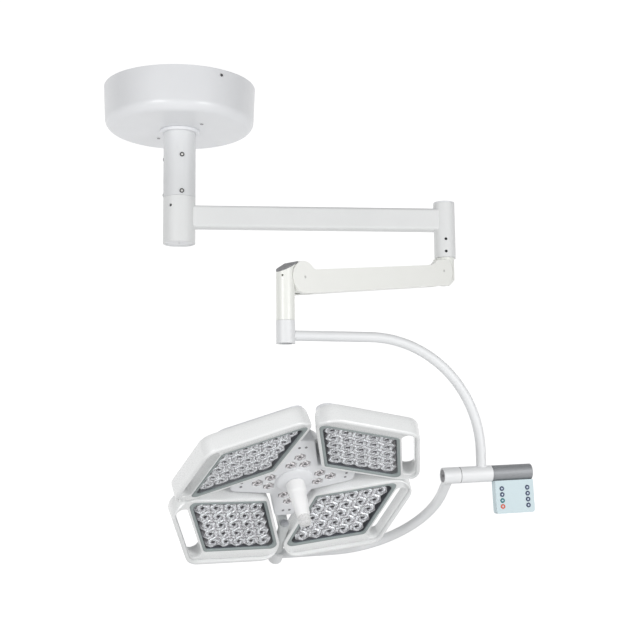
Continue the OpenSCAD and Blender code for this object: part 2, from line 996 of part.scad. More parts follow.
// Switch board behind the buttons
module key_board() {
    inset = pad_skin + 4;
    color("darkgreen")
    on_swivel()
        translate([pad_from + inset, pad_front + 9, pad_top - pad_h + inset])
            cube([pad_w - 2 * inset, 1.6, pad_h - 2 * inset - 4]);
}

// ---- inner yoke ----

module inner_yoke_tube() {
    tube_x = inner_reach - head_from_swivel;
    color("white")
    difference() {
        union() {
            on_swivel() bar_x(swivel_r, hub_from, swivel_from - gap);
            on_inner_yoke()
                translate([0, -inner_drop, 0])
                    rotate([-90, 0, 0])
                        mirror([0, 0, 1])
                            bent_tube(tube_r, inner_reach, inner_drop - 4, inner_bend);
            on_inner_yoke() bar_y(boss_r, -boss_to, -boss_from);
        }
        on_swivel() {
            bar_x(tilt_spindle_r + fit, hub_from - 5, swivel_from + 1);
            bar_x(hub_bore_r, hub_from - 1, hub_from + 8);
        }
        on_inner_yoke() {
            bar_y(roll_axis_r + fit, -boss_to + 6, -boss_from + 2);
            translate([0, -inner_drop, 0])
                rotate([-90, 0, 0])
                    mirror([0, 0, 1]) {
                        bar_x(tube_bore_r, boss_r - 2, inner_reach - inner_bend);
                        translate([inner_reach - inner_bend, 0, -inner_bend])
                            tube_elbow(tube_bore_r, inner_bend);
                        translate([inner_reach, 0, -inner_drop + swivel_r + 3])
                            cylinder(r = tube_bore_r, h = inner_drop - inner_bend - swivel_r - 3);
                    }
        }
    }
}

module tilt_spindle() {
    color("slategray")
    on_swivel() {
        bar_x(tilt_spindle_r, hub_from + 9, 21);
        bar_x(13, 21, 21.9);
    }
}

module swivel_end_cap() {
    color("gray")
    on_swivel()
        difference() {
            bar_x(end_cap_r, hub_from + 1, hub_from + 5);
            bar_x(4, hub_from - 1, hub_from + 6);
        }
}

module roll_spindle() {
    color("slategray")
    on_inner_yoke() {
        bar_y(roll_axis_r, -boss_to + 6, -roll_housing_from + 1);
        bar_y(10, -roll_housing_from + 1, -roll_housing_from + 4);
    }
}

// ---- lamp head ----

// Corners of a petal: offsets beyond the plain side, the slot side and the two inner sides
function petal_corners(plain, slot, inner) =
    let (h = window_side * sin(half_angle), s = 2 * sin(half_angle))
    [
        [-inner / sin(half_angle), 0],
        [(h + slot - inner) / s, h + slot + inner],
        [(2 * h + plain + slot) / s, slot - plain],
        [(h + plain - inner) / s, -h - plain - inner]
    ];

module petal_shape(plain, slot, inner, r) {
    polygon(rounded(petal_corners(plain, slot, inner), [r / 2, r, r, r]));
}

// Outline of the window opening, made larger by the given margin
module window_shape(margin, r) {
    petal_shape(margin, window_grow + margin, margin, r);
}

// Long hole beside the slot side of the window, made larger by the given margin
module grip_slot(margin) {
    r = slot_end_r + margin;
    translate([window_side, 0])
        rotate(half_angle * 2)
            translate([slot_start, -slot_from - slot_end_r]) {
                circle(r = r);
                translate([slot_length, 0]) circle(r = r);
                translate([0, -r]) square([slot_length, 2 * r]);
            }
}

module petal_frame(i) {
    color("white")
    difference() {
        on_petal(i)
            difference() {
                translate([0, 0, -frame_depth])
                    linear_extrude(frame_depth + rim_top)
                        petal_shape(rim_w, grip_rim_w, inner_border, petal_r);
                translate([0, 0, 1])
                    linear_extrude(rim_top)
                        petal_shape(rim_w - lip_w, grip_rim_w - lip_w, ledge_border, petal_r - lip_w);
                translate([0, 0, -frame_depth - 1])
                    linear_extrude(frame_depth + 4) window_shape(0, window_r);
                translate([0, 0, -frame_depth - 1])
                    linear_extrude(frame_depth + 30) grip_slot(0);
                translate([0, 0, -frame_depth - 1])
                    linear_extrude(recess_depth + 1) grip_slot(slot_recess);
                translate([0, 0, -frame_depth - 1])
                    linear_extrude(frame_depth - 2)
                        difference() {
                            petal_shape(rim_w - wall, 0, inner_border - wall, petal_r - wall);
                            window_shape(wall, window_r + wall);
                        }
            }
        on_inner_yoke() bar_y(roll_housing_r + 1.5, -roll_housing_end - 20, -roll_housing_from);
    }
}

module petal_windows() {
    color("lightcyan")
    for (i = [0:3])
        on_petal(i)
            translate([0, 0, -glass_t])
                linear_extrude(glass_t) window_shape(-seal_w, window_r - 3);
}

module window_seals() {
    color("darkslategray")
    for (i = [0:3])
        on_petal(i)
            translate([0, 0, -glass_t])
                linear_extrude(glass_t + 0.8)
                    difference() {
                        window_shape(-fit, window_r);
                        window_shape(-seal_w + fit, window_r - 3);
                    }
}

// Centre of lens (a, b) of the rhombic field
function lens_place(a, b) =
    let (mid = (lens_rows - 1) / 2)
    [window_side / 2 + lens_pitch * cos(half_angle) * (a + b - 2 * mid) + lens_shift * sin(half_angle),
        lens_pitch * sin(half_angle) * (a - b) + lens_shift * cos(half_angle)];

module petal_lenses() {
    bottom = board_z + board_t;
    color("aliceblue")
    for (i = [0:3])
        on_petal(i)
            for (a = [0:lens_rows - 1])
                for (b = [0:lens_rows - 1])
                    translate([lens_place(a, b).x, lens_place(a, b).y, bottom])
                        rotate([0, 0, 30])
                            cylinder(d = lens_flat / sin(half_angle), h = lens_top - bottom, $fn = 6);
}

module led_boards() {
    color("darkslategray")
    for (i = [0:3])
        on_petal(i)
            translate([0, 0, board_z])
                linear_extrude(board_t) window_shape(-board_inset, 6);
}

module back_covers() {
    color("white")
    for (i = [0:3])
        on_petal(i)
            translate([0, 0, -frame_depth - cover_depth]) {
                difference() {
                    union() {
                        linear_extrude(cover_depth - fit)
                            petal_shape(cover_box, cover_slot - 1.6, inner_border - 3.6, 24);
                        translate([0, 0, cover_depth - cover_flange_t])
                            linear_extrude(cover_flange_t - fit)
                                petal_shape(rim_w - 6, cover_slot, inner_border - 2, petal_r - 6);
                    }
                    translate([0, 0, 2.5])
                        linear_extrude(cover_depth)
                            petal_shape(cover_box - wall, cover_slot - 4.6, inner_border - 6.6, 21);
                }
                translate([0, 0, 2])
                    linear_extrude(board_z + frame_depth + cover_depth - 2 - fit)
                        window_shape(-pad_inset, 4);
            }
    color("white")
    on_head()
        translate([0, 0, -104]) {
            difference() {
                cylinder(r = 84, h = 26);
                translate([0, 0, 3]) cylinder(r = 81, h = 30);
            }
        }
}

// Cast spider that carries the petals, with the bored arm of the roll pivot
module hub_frame() {
    color("silver")
    difference() {
        union() {
            on_head() {
                translate([0, 0, -78]) cylinder(r = 84, h = 22);
                translate([0, 0, -57]) cylinder(r = 40, h = 20);
                translate([-11, -196, -72]) cube([22, 130, 14]);
                translate([-11, -196, -72]) cube([22, 22, 66]);
                bar_y(roll_housing_r, -roll_housing_end, -roll_housing_from);
            }
            for (i = [0:3])
                on_petal(i)
                    translate([-20, -28, -frame_depth - cover_depth - 10])
                        cube([150, 56, 10 - fit]);
        }
        on_inner_yoke() bar_y(roll_axis_r + running, -roll_housing_end - 1, -roll_housing_from + 1);
        on_head() translate([0, 0, -90]) cylinder(r = 12, h = 80);
    }
}

function hub_outline() =
    [for (i = [0:3]) let (a = i * 90)
        each [for (p = [[lobe_tip, -lobe_tip_half], [lobe_tip, lobe_tip_half], [lobe_root, lobe_root]])
            [p.x * cos(a) - p.y * sin(a), p.x * sin(a) + p.y * cos(a)]]];

module hub_shape(inset) {
    k = 1 - inset / lobe_tip;
    polygon([for (p = rounded(hub_outline(), [for (i = [0:11]) i % 3 == 2 ? 8 : 14])) p * k]);
}

// Places of the three lenses in each lobe of the hub cover
module hub_lens_places() {
    for (i = [0:3])
        rotate([0, 0, i * 90])
            for (p = [[60, 17], [60, -17], [89.4, 0]])
                translate([p.x, p.y, 0]) children();
}

module hub_cover() {
    color("white")
    on_head()
        difference() {
            translate([0, 0, hub_face - hub_skirt])
                linear_extrude(hub_skirt) hub_shape(0);
            translate([0, 0, hub_face - hub_skirt - 1])
                linear_extrude(hub_skirt - 2) hub_shape(3.2);
            translate([0, 0, hub_face - 10]) cylinder(r = 30, h = 20);
            hub_lens_places()
                translate([0, 0, hub_face - 10])
                    rotate([0, 0, 30]) cylinder(r = hub_lens_r + 0.4, h = 20, $fn = 6);
            hub_screw_places()
                translate([0, 0, hub_face - 10]) cylinder(r = hub_screw_r + fit, h = 20);
        }
}

// Two screws near the tip of each lobe
module hub_screw_places() {
    for (i = [0:3])
        for (side = [-1, 1])
            rotate([0, 0, i * 90])
                translate([128, side * 8, 0]) children();
}

module hub_screws() {
    color("gray")
    on_head()
        hub_screw_places() {
            translate([0, 0, hub_face - 8]) cylinder(r = hub_screw_r, h = 8.5);
            translate([0, 0, hub_face + fit]) cylinder(r = 2 * hub_screw_r, h = 0.8);
        }
}

module hub_lenses() {
    color("aliceblue")
    on_head()
        hub_lens_places()
            translate([0, 0, hub_face - 14])
                rotate([0, 0, 30]) cylinder(r = hub_lens_r, h = 14.5, $fn = 6);
}

// ---- centre handle ----

module handle_base() {
    rise = handle_base_h;
    color("white")
    on_head()
        translate([0, 0, hub_face + fit])
            difference() {
                union() {
                    rotate_extrude()
                        polygon(concat([[0, 0], [handle_base_r, 0], [handle_base_r, 3]],
                            [for (a = [10:10:70]) [23 + 22 * cos(a), 3 + (rise - 3) * sin(a)]],
                            [[24, rise], [0, rise]]));
                    translate([0, 0, -26]) cylinder(r = 26, h = 27);
                }
                translate([0, 0, -20]) cylinder(r = 14 + running, h = 60);
                translate([0, 0, -27]) cylinder(r = 19, h = 14);
            }
}

module handle_grip() {
    from = hub_face + handle_base_h + gap;
    color("white")
    on_head() {
        translate([0, 0, from])
            rotate_extrude()
                polygon(concat(
                    [[0, 0], [handle_r, 0], [handle_r, 26], [handle_r - 2, 30]],
                    [[handle_tip_r + 1, handle_length - 24], [handle_tip_r, handle_length - 22]],
                    [for (a = [0:15:90])
                        [handle_tip_r - 6 + 6 * cos(a), handle_length - 6 + 6 * sin(a)]],
                    [[0, handle_length]]
                ));
        translate([0, 0, from - handle_base_h - 15]) cylinder(r = 14, h = handle_base_h + 16);
        translate([0, 0, from - handle_base_h - 20]) cylinder(r = 17, h = 5);
    }
}

ceiling_plate();
canopy_cover();
canopy_screws();
canopy_collar();
column_tube();
column_spindle();
column_screws();
power_supply();
main_arm();
arm_bushes();
hub_bottom_cap();
slip_ring();
brake_screws();
end_hub_cap();
rear_knuckle();
rear_spindle();
arm_frame();
cover_near();
cover_far();
cover_screws();
balance_spring();
lift_axles();
tie_rod();
spring_rod();
spring_nut();
front_knuckle();
knuckle_cap();
front_spindle();
yoke_tube();
yoke_bushes();
control_housing();
control_panel();
key_board();
button(0);  // button_1
button(1);  // button_2
button(2);  // button_3
button(3);  // button_4
button(4);  // button_5
button(5);  // button_6
button(6);  // button_7
button(7);  // button_8
inner_yoke_tube();
tilt_spindle();
roll_spindle();
swivel_end_cap();
hub_frame();
hub_cover();
hub_lenses();
petal_frame(0);  // petal_frame_1
petal_frame(1);  // petal_frame_2
petal_frame(2);  // petal_frame_3
petal_frame(3);  // petal_frame_4
petal_windows();
window_seals();
petal_lenses();
led_boards();
back_covers();
hub_screws();
handle_base();
handle_grip();
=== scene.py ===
"""Looks of a ceiling-mounted LED operating light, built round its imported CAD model."""
import json
import math

import bmesh
import bpy
from mathutils import Matrix, Vector


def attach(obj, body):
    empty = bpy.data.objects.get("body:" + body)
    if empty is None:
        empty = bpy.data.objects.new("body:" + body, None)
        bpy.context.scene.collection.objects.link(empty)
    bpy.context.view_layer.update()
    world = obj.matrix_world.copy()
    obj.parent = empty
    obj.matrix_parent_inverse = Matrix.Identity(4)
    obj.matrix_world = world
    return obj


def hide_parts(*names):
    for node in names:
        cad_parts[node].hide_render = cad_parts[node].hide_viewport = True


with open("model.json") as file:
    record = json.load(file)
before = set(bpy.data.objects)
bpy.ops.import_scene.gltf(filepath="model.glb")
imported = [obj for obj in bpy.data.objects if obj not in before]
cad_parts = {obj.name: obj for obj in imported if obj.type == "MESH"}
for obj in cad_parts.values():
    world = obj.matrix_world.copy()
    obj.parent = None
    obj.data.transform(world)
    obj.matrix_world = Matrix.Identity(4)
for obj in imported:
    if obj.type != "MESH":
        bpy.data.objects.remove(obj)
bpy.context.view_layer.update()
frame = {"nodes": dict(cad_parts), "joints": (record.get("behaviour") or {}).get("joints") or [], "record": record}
nodes = frame["nodes"]
joints = {joint["name"]: joint for joint in frame["joints"]}

MM = 0.001

# ---- frames of reference, taken from the joints ----


def joint_place(name):
    return Vector(joints[name]["pos_m"])


def joint_axis(name):
    return Vector(joints[name]["axis"]).normalized()


def basis(origin, x_axis, y_axis, z_axis):
    """Matrix that takes millimetres in a local frame to metres in the row frame."""
    rows = Matrix((x_axis, y_axis, z_axis)).transposed()
    return Matrix.Translation(origin) @ rows.to_4x4() @ Matrix.Scale(MM, 4)


shine = joint_axis("handle_turn")
notch = joint_axis("head_roll")
notch_across = notch.cross(shine).normalized()
HEAD = basis(joint_place("head_roll"), notch_across, notch, shine)

swivel_axis = joint_axis("head_tilt")
press_axis = joint_axis("button_1_press")
SWIVEL = basis(joint_place("head_tilt"), swivel_axis, press_axis, swivel_axis.cross(press_axis))

# ---- sizes repeated from the CAD model, in millimetres ----

PETAL_START = 87
WINDOW_SIDE = 200
HALF_ANGLE = math.radians(60)
PETAL_TILT = math.atan2(PETAL_START + WINDOW_SIDE / 2, 1000)
RIM_W = 40
GRIP_RIM_W = 50
INNER_BORDER = 8
PETAL_R = 42
LIP_W = 12
GRIP_LIP_W = 9
RIM_TOP = 8
LEDGE = 1
FRAME_DEPTH = 36
WINDOW_GROW = 4
WINDOW_R = 12
LENS_PITCH = 34.8
LENS_ROWS = 5
LENS_FLAT = 34.0
LENS_SHIFT = 2
HUB_FACE = -11


def petal_matrix(i):
    """Frame of one petal: turned to its quarter, dished, and mirrored on every other one."""
    turn = Matrix.Rotation(math.radians(45 + 90 * i), 4, "Z")
    out = Matrix.Translation((PETAL_START, 0, 0))
    tilt = Matrix.Rotation(-PETAL_TILT, 4, "Y")
    flip = Matrix.Diagonal((1, -1, 1, 1)) if i % 2 == 0 else Matrix.Identity(4)
    return HEAD @ turn @ out @ tilt @ flip


# ---- materials ----


def new_material(name):
    mat = bpy.data.materials.new(name)
    mat.use_nodes = True
    tree = mat.node_tree
    return mat, tree, tree.nodes["Principled BSDF"]


def add_noise(tree, scale, detail=3.0, rough=0.5):
    """Noise texture in the object's own coordinates."""
    coord = tree.nodes.new("ShaderNodeTexCoord")
    noise = tree.nodes.new("ShaderNodeTexNoise")
    noise.inputs["Scale"].default_value = scale
    noise.inputs["Detail"].default_value = detail
    noise.inputs["Roughness"].default_value = rough
    tree.links.new(coord.outputs["Object"], noise.inputs["Vector"])
    return noise


def ramp_between(tree, source, low, high, start=0.3, end=0.7):
    """Colour ramp from low to high over part of the source's range."""
    ramp = tree.nodes.new("ShaderNodeValToRGB")
    ramp.color_ramp.elements[0].position = start
    ramp.color_ramp.elements[1].position = end
    ramp.color_ramp.elements[0].color = (*low, 1)
    ramp.color_ramp.elements[1].color = (*high, 1)
    tree.links.new(source, ramp.inputs["Fac"])
    return ramp


# Pointiness over which sharp edges take the painted highlight
EDGE_HIGHLIGHT_FROM = 0.52
EDGE_HIGHLIGHT_TO = 0.6
GRAIN_DEPTH = 0.0005
COAT_ROUGH = 0.12


def finish(name, colour, rough, spread=0.04, metal=0.0, coat=0.0, grain=900.0, bump=0.02,
           edge_highlight=0.0, patch=9.0, specular=0.5):
    """Painted, moulded or turned surface: faint colour drift, fine grain and sharp edges lightened as a painted
    highlight.
    """
    mat, tree, bsdf = new_material(name)
    drift = add_noise(tree, patch, 4.0)
    low = [c * (1 - spread) for c in colour]
    high = [min(1.0, c * (1 + spread * 0.5)) for c in colour]
    tint = ramp_between(tree, drift.outputs["Fac"], low, high)
    colour_out = tint.outputs["Color"]
    # Painted highlight: sharp edges, found by their pointiness, lean towards a brighter copy of the colour
    if edge_highlight:
        geometry = tree.nodes.new("ShaderNodeNewGeometry")
        pointed = geometry.outputs["Pointiness"]
        edge = ramp_between(tree, pointed, (0, 0, 0), (1, 1, 1), EDGE_HIGHLIGHT_FROM, EDGE_HIGHLIGHT_TO)
        mix = tree.nodes.new("ShaderNodeMix")
        mix.data_type = "RGBA"
        amount = tree.nodes.new("ShaderNodeMath")
        amount.operation = "MULTIPLY"
        amount.inputs[1].default_value = edge_highlight
        tree.links.new(edge.outputs["Color"], amount.inputs[0])
        tree.links.new(amount.outputs[0], mix.inputs["Factor"])
        tree.links.new(colour_out, mix.inputs["A"])
        mix.inputs["B"].default_value = (*[min(1.0, c * 1.25 + 0.05) for c in colour], 1)
        colour_out = mix.outputs["Result"]
    tree.links.new(colour_out, bsdf.inputs["Base Color"])
    fine = add_noise(tree, grain, 2.0)
    shine_ramp = ramp_between(tree, fine.outputs["Fac"], [rough * 0.9] * 3, [min(1, rough * 1.1)] * 3)
    tree.links.new(shine_ramp.outputs["Color"], bsdf.inputs["Roughness"])
    bump_node = tree.nodes.new("ShaderNodeBump")
    bump_node.inputs["Strength"].default_value = bump
    bump_node.inputs["Distance"].default_value = GRAIN_DEPTH
    tree.links.new(fine.outputs["Fac"], bump_node.inputs["Height"])
    tree.links.new(bump_node.outputs["Normal"], bsdf.inputs["Normal"])
    bsdf.inputs["Metallic"].default_value = metal
    bsdf.inputs["Coat Weight"].default_value = coat
    bsdf.inputs["Coat Roughness"].default_value = COAT_ROUGH
    bsdf.inputs["Specular IOR Level"].default_value = specular
    return mat


LINES_ALONG = 12
LINES_ACROSS = 900
LINE_BUMP = 0.08
LINE_DEPTH = 0.0003


def brushed(name, colour, rough, along="X", metal=1.0):
    """Metal drawn or extruded along one axis, with fine lines that run that way."""
    mat, tree, bsdf = new_material(name)
    coord = tree.nodes.new("ShaderNodeTexCoord")
    stretch = tree.nodes.new("ShaderNodeMapping")
    scale = [LINES_ALONG if axis == along else LINES_ACROSS for axis in "XYZ"]
    stretch.inputs["Scale"].default_value = scale
    noise = tree.nodes.new("ShaderNodeTexNoise")
    noise.inputs["Scale"].default_value = 1.0
    noise.inputs["Detail"].default_value = 3.0
    tree.links.new(coord.outputs["Object"], stretch.inputs["Vector"])
    tree.links.new(stretch.outputs["Vector"], noise.inputs["Vector"])
    low = [c * 0.86 for c in colour]
    high = [min(1.0, c * 1.1) for c in colour]
    tint = ramp_between(tree, noise.outputs["Fac"], low, high)
    tree.links.new(tint.outputs["Color"], bsdf.inputs["Base Color"])
    shine_ramp = ramp_between(tree, noise.outputs["Fac"], [rough * 0.8] * 3, [rough * 1.2] * 3)
    tree.links.new(shine_ramp.outputs["Color"], bsdf.inputs["Roughness"])
    bump_node = tree.nodes.new("ShaderNodeBump")
    bump_node.inputs["Strength"].default_value = LINE_BUMP
    bump_node.inputs["Distance"].default_value = LINE_DEPTH
    tree.links.new(noise.outputs["Fac"], bump_node.inputs["Height"])
    tree.links.new(bump_node.outputs["Normal"], bsdf.inputs["Normal"])
    bsdf.inputs["Metallic"].default_value = metal
    return mat


# The whites below that lighten their sharp edges carry a painted highlight there
WHITE = finish("powder_white", (0.80, 0.81, 0.82), 0.46, 0.02, grain=700, bump=0.05, edge_highlight=0.05)
# A darker copy of the powder white for the column: painted shade
COLUMN = finish("column_white_painted_shade", (0.74, 0.75, 0.76), 0.52, 0.02, grain=700, bump=0.05, edge_highlight=0.05)
SHELL = finish("shell_white", (0.80, 0.81, 0.83), 0.38, 0.02, coat=0.1, grain=1100, bump=0.04)
CAST = finish("cast_white", (0.82, 0.83, 0.83), 0.28, 0.015, coat=0.3, grain=500, bump=0.05, edge_highlight=0.2)
BEAM = finish("beam_white", (0.79, 0.80, 0.80), 0.5, 0.02, grain=700, bump=0.05, edge_highlight=0.05)
COVER = finish("cover_ivory", (0.86, 0.87, 0.83), 0.36, 0.02, coat=0.1, grain=1000, bump=0.04)
# A brighter copy of the ivory for the spring arm's covers: painted light
ARM_COVER = finish("arm_ivory_painted_light", (0.95, 0.955, 0.92), 0.4, 0.015, grain=1000, bump=0.04)
# Pale screw colour; the column screws' sockets use it as a painted highlight
PALE_SCREW_AND_HIGHLIGHT = finish("cover_screw", (0.70, 0.70, 0.68), 0.4, 0.06, metal=0.3, grain=1500, bump=0.08)
GRIP = finish("handle_white", (0.92, 0.92, 0.92), 0.4, 0.02, grain=1300, bump=0.06)
KNURL = finish("knurl_grey", (0.76, 0.76, 0.76), 0.5, 0.25, grain=260, bump=0.5, patch=300)
STEEL = brushed("spindle_steel", (0.50, 0.51, 0.53), 0.3, "Z")
SCREW = finish("screw_steel", (0.30, 0.30, 0.31), 0.3, 0.12, metal=1.0, grain=1500, bump=0.08)
# Black of the screws; the rims round the column screws use it as painted shade
BLACK_AND_SHADE = finish("black_screw", (0.03, 0.03, 0.032), 0.4, 0.2, metal=0.6, grain=1500, bump=0.08)
BRONZE = finish("bronze", (0.62, 0.45, 0.22), 0.3, 0.1, metal=1.0, grain=1200, bump=0.06)
COPPER = finish("copper", (0.72, 0.42, 0.24), 0.22, 0.1, metal=1.0, grain=1400, bump=0.04)
ZINC = finish("zinc_plate", (0.58, 0.60, 0.62), 0.34, 0.12, metal=0.9, grain=300, bump=0.05, patch=40)
SPRING = finish("spring_wire", (0.16, 0.16, 0.17), 0.35, 0.15, metal=0.9, grain=800, bump=0.05)
PAD_CASE = brushed("pad_case", (0.33, 0.34, 0.355), 0.58, "X", metal=0.4)
PANEL = finish("panel_blue", (0.55, 0.66, 0.695), 0.46, 0.03, grain=1800, bump=0.08)
BOARD = finish("board_green", (0.02, 0.10, 0.06), 0.4, 0.2, grain=600, bump=0.1, patch=120)
TRAY = finish("tray_slate", (0.105, 0.115, 0.145), 0.45, 0.08, grain=900, bump=0.06)
# Grey of the caps; the dark ring in the swivel's seam uses it as a painted shadow
CAP_GREY_AND_SHADE = finish("cap_grey_and_painted_shade", (0.24, 0.24, 0.25), 0.45, 0.1, grain=1400, bump=0.08)
SEAL = finish("seal_grey", (0.30, 0.34, 0.34), 0.55, 0.06, grain=900, bump=0.1)
SILVER = finish("cast_silver", (0.62, 0.64, 0.64), 0.42, 0.05, metal=0.35, grain=260, bump=0.15, patch=30)
CASE = finish("supply_case", (0.60, 0.61, 0.60), 0.4, 0.08, metal=0.8, grain=300, bump=0.06, patch=40)
NAVY = finish("button_navy", (0.045, 0.065, 0.13), 0.5, 0.08, grain=1600, bump=0.08)
TEAL = finish("button_teal", (0.03, 0.19, 0.21), 0.5, 0.08, grain=1600, bump=0.08)
RED = finish("button_red", (0.66, 0.12, 0.06), 0.5, 0.06, grain=1600, bump=0.08)
PALE = finish("button_pale", (0.62, 0.72, 0.82), 0.5, 0.04, grain=1600, bump=0.08)


def calculate(tree, operation, first, second):
    """Math node with two inputs, each a number or a socket; returns its output."""
    node = tree.nodes.new("ShaderNodeMath")
    node.operation = operation
    for slot, value in enumerate((first, second)):
        if isinstance(value, float):
            node.inputs[slot].default_value = value
        else:
            tree.links.new(value, node.inputs[slot])
    return node.outputs[0]


def glass(name, tint, straight, rough):
    """Thin pane: mostly see-through, its clear reflection growing with the fifth power of the slant."""
    mat = bpy.data.materials.new(name)
    mat.use_nodes = True
    tree = mat.node_tree
    tree.nodes.clear()
    out = tree.nodes.new("ShaderNodeOutputMaterial")
    through = tree.nodes.new("ShaderNodeBsdfTransparent")
    noise = add_noise(tree, 6.0)
    ramp = ramp_between(tree, noise.outputs["Fac"], [c * 0.98 for c in tint], tint)
    tree.links.new(ramp.outputs["Color"], through.inputs["Color"])
    gloss = tree.nodes.new("ShaderNodeBsdfGlossy")
    gloss.inputs["Roughness"].default_value = rough
    slant = tree.nodes.new("ShaderNodeLayerWeight")
    slant.inputs["Blend"].default_value = 0.5
    power = calculate(tree, "POWER", slant.outputs["Facing"], 5.0)
    spread = calculate(tree, "MULTIPLY", power, 1.0 - straight)
    share = calculate(tree, "ADD", spread, straight)
    geometry = tree.nodes.new("ShaderNodeNewGeometry")
    outside = calculate(tree, "SUBTRACT", 1.0, geometry.outputs["Backfacing"])
    seen = calculate(tree, "MULTIPLY", share, outside)
    mix = tree.nodes.new("ShaderNodeMixShader")
    tree.links.new(seen, mix.inputs["Fac"])
    tree.links.new(through.outputs["BSDF"], mix.inputs[1])
    tree.links.new(gloss.outputs["BSDF"], mix.inputs[2])
    tree.links.new(mix.outputs["Shader"], out.inputs["Surface"])
    return mat


GLASS = glass("window_glass", (0.97, 0.985, 0.99), 0.05, 0.02)


# Painted sparkle and glow of the lenses: fine noise between a dull and an over-bright colour stands for glints of
# reflected light, and the glow stands for reflected light, not for the lamp shining
LENS_PAINTED_SPARKLE = 360.0
LENS_DULL = (0.38, 0.37, 0.38)
LENS_BRIGHT = (1.5, 1.49, 1.5)
LENS_PAINTED_GLOW = 0.16


def lens_material():
    """Moulded clear lens, coloured ring by ring with painted reflection and shade: bright facets round a dark
    core, painted sparkle, and a faint glow that stands for reflected light.
    """
    mat, tree, bsdf = new_material("lens_clear")
    rings = tree.nodes.new("ShaderNodeVertexColor")
    rings.layer_name = "ring"
    noise = add_noise(tree, LENS_PAINTED_SPARKLE, 4.0, 0.65)
    painted_sparkle = ramp_between(tree, noise.outputs["Fac"], LENS_DULL, LENS_BRIGHT, 0.4, 0.6)
    mix = tree.nodes.new("ShaderNodeMix")
    mix.data_type = "RGBA"
    mix.blend_type = "MULTIPLY"
    mix.inputs["Factor"].default_value = 1.0
    tree.links.new(rings.outputs["Color"], mix.inputs["A"])
    tree.links.new(painted_sparkle.outputs["Color"], mix.inputs["B"])
    tree.links.new(mix.outputs["Result"], bsdf.inputs["Base Color"])
    # Painted glow: the lens colours glow faintly, standing for reflected light
    tree.links.new(mix.outputs["Result"], bsdf.inputs["Emission Color"])
    bsdf.inputs["Emission Strength"].default_value = LENS_PAINTED_GLOW
    bsdf.inputs["Roughness"].default_value = 0.12
    bsdf.inputs["Coat Weight"].default_value = 1.0
    bsdf.inputs["Coat Roughness"].default_value = 0.04
    bsdf.inputs["Metallic"].default_value = 0.25
    return mat


LENS = lens_material()

# ---- mesh helpers ----


def add_object(name, mesh, material):
    mesh.materials.append(material)
    obj = bpy.data.objects.new(name, mesh)
    bpy.context.scene.collection.objects.link(obj)
    return obj


def shade_by_angle(mesh, degrees=32):
    """Smooth shading that keeps edges sharper than the given angle."""
    mesh.set_sharp_from_angle(angle=math.radians(degrees))
    for polygon in mesh.polygons:
        polygon.use_smooth = True


def from_bmesh(bm, name, material, matrix=None, angle=32):
    """Object from a bmesh, faces turned outwards and smooth below the given angle."""
    if matrix is not None:
        bm.transform(matrix)
        if matrix.determinant() < 0:
            bmesh.ops.reverse_faces(bm, faces=bm.faces)
    bmesh.ops.recalc_face_normals(bm, faces=bm.faces)
    mesh = bpy.data.meshes.new(name)
    bm.to_mesh(mesh)
    bm.free()
    shade_by_angle(mesh, angle)
    return add_object(name, mesh, material)


def place(obj, body, slot, *replaced):
    """Rides the object on a body and hides the CAD nodes it stands for; the slot is not used."""
    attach(obj, body)
    if replaced:
        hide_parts(*replaced)
    return obj


# Body and material slot of each CAD node
body_of = {}
for body_name, members in frame["record"]["behaviour"]["bodies"].items():
    for member in members:
        body_of[member] = body_name
slot_of = {entry["node"]: entry["material_slot"] for entry in frame["record"]["subparts"]}


WELD = 2e-6
FLAT_ANGLE = math.radians(1.0)


def softened(node, material, width, segments=2, angle=35):
    """Stands for a CAD node with the same solid, its edges rounded over."""
    bm = bmesh.new()
    bm.from_mesh(nodes[node].data)
    bmesh.ops.remove_doubles(bm, verts=bm.verts, dist=WELD)
    bmesh.ops.dissolve_limit(bm, angle_limit=FLAT_ANGLE, verts=bm.verts, edges=bm.edges)
    mesh = bpy.data.meshes.new(node + "_soft")
    bm.to_mesh(mesh)
    bm.free()
    obj = add_object(node + "_soft", mesh, material)
    bevel = obj.modifiers.new("round", "BEVEL")
    bevel.width = width * MM
    bevel.segments = segments
    bevel.limit_method = "ANGLE"
    bevel.angle_limit = math.radians(angle)
    bevel.use_clamp_overlap = True
    bevel.harden_normals = False
    for polygon in mesh.polygons:
        polygon.use_smooth = True
    weighted = obj.modifiers.new("even", "WEIGHTED_NORMAL")
    weighted.mode = "FACE_AREA"
    weighted.weight = 100
    weighted.keep_sharp = True
    bpy.context.view_layer.update()
    evaluated = obj.evaluated_get(bpy.context.evaluated_depsgraph_get())
    final = bpy.data.meshes.new_from_object(evaluated)
    obj.modifiers.clear()
    obj.data = final
    return place(obj, body_of[node], slot_of[node], node)


def keep(node, material):
    """Keeps a hidden or plain CAD node and gives it a finish."""
    mesh = nodes[node].data
    mesh.materials.clear()
    mesh.materials.append(material)


def ring_loop(bm, points, z):
    """Loop of vertices on an outline at one height."""
    return [bm.verts.new((p[0], p[1], z)) for p in points]


def bridge(bm, lower, upper):
    """Band of faces between two loops of equal count."""
    count = len(lower)
    for i in range(count):
        j = (i + 1) % count
        bm.faces.new((lower[i], lower[j], upper[j], upper[i]))


def skin_loops(bm, loops):
    for lower, upper in zip(loops, loops[1:]):
        bridge(bm, lower, upper)


def fill_between(bm, loops):
    """Flat face bounded by several loops at one height, outer and holes alike."""
    edges = []
    for loop in loops:
        count = len(loop)
        for i in range(count):
            pair = (loop[i], loop[(i + 1) % count])
            edge = bm.edges.get(pair) or bm.edges.new(pair)
            edges.append(edge)
    bmesh.ops.triangle_fill(bm, use_beauty=True, use_dissolve=False, edges=edges)


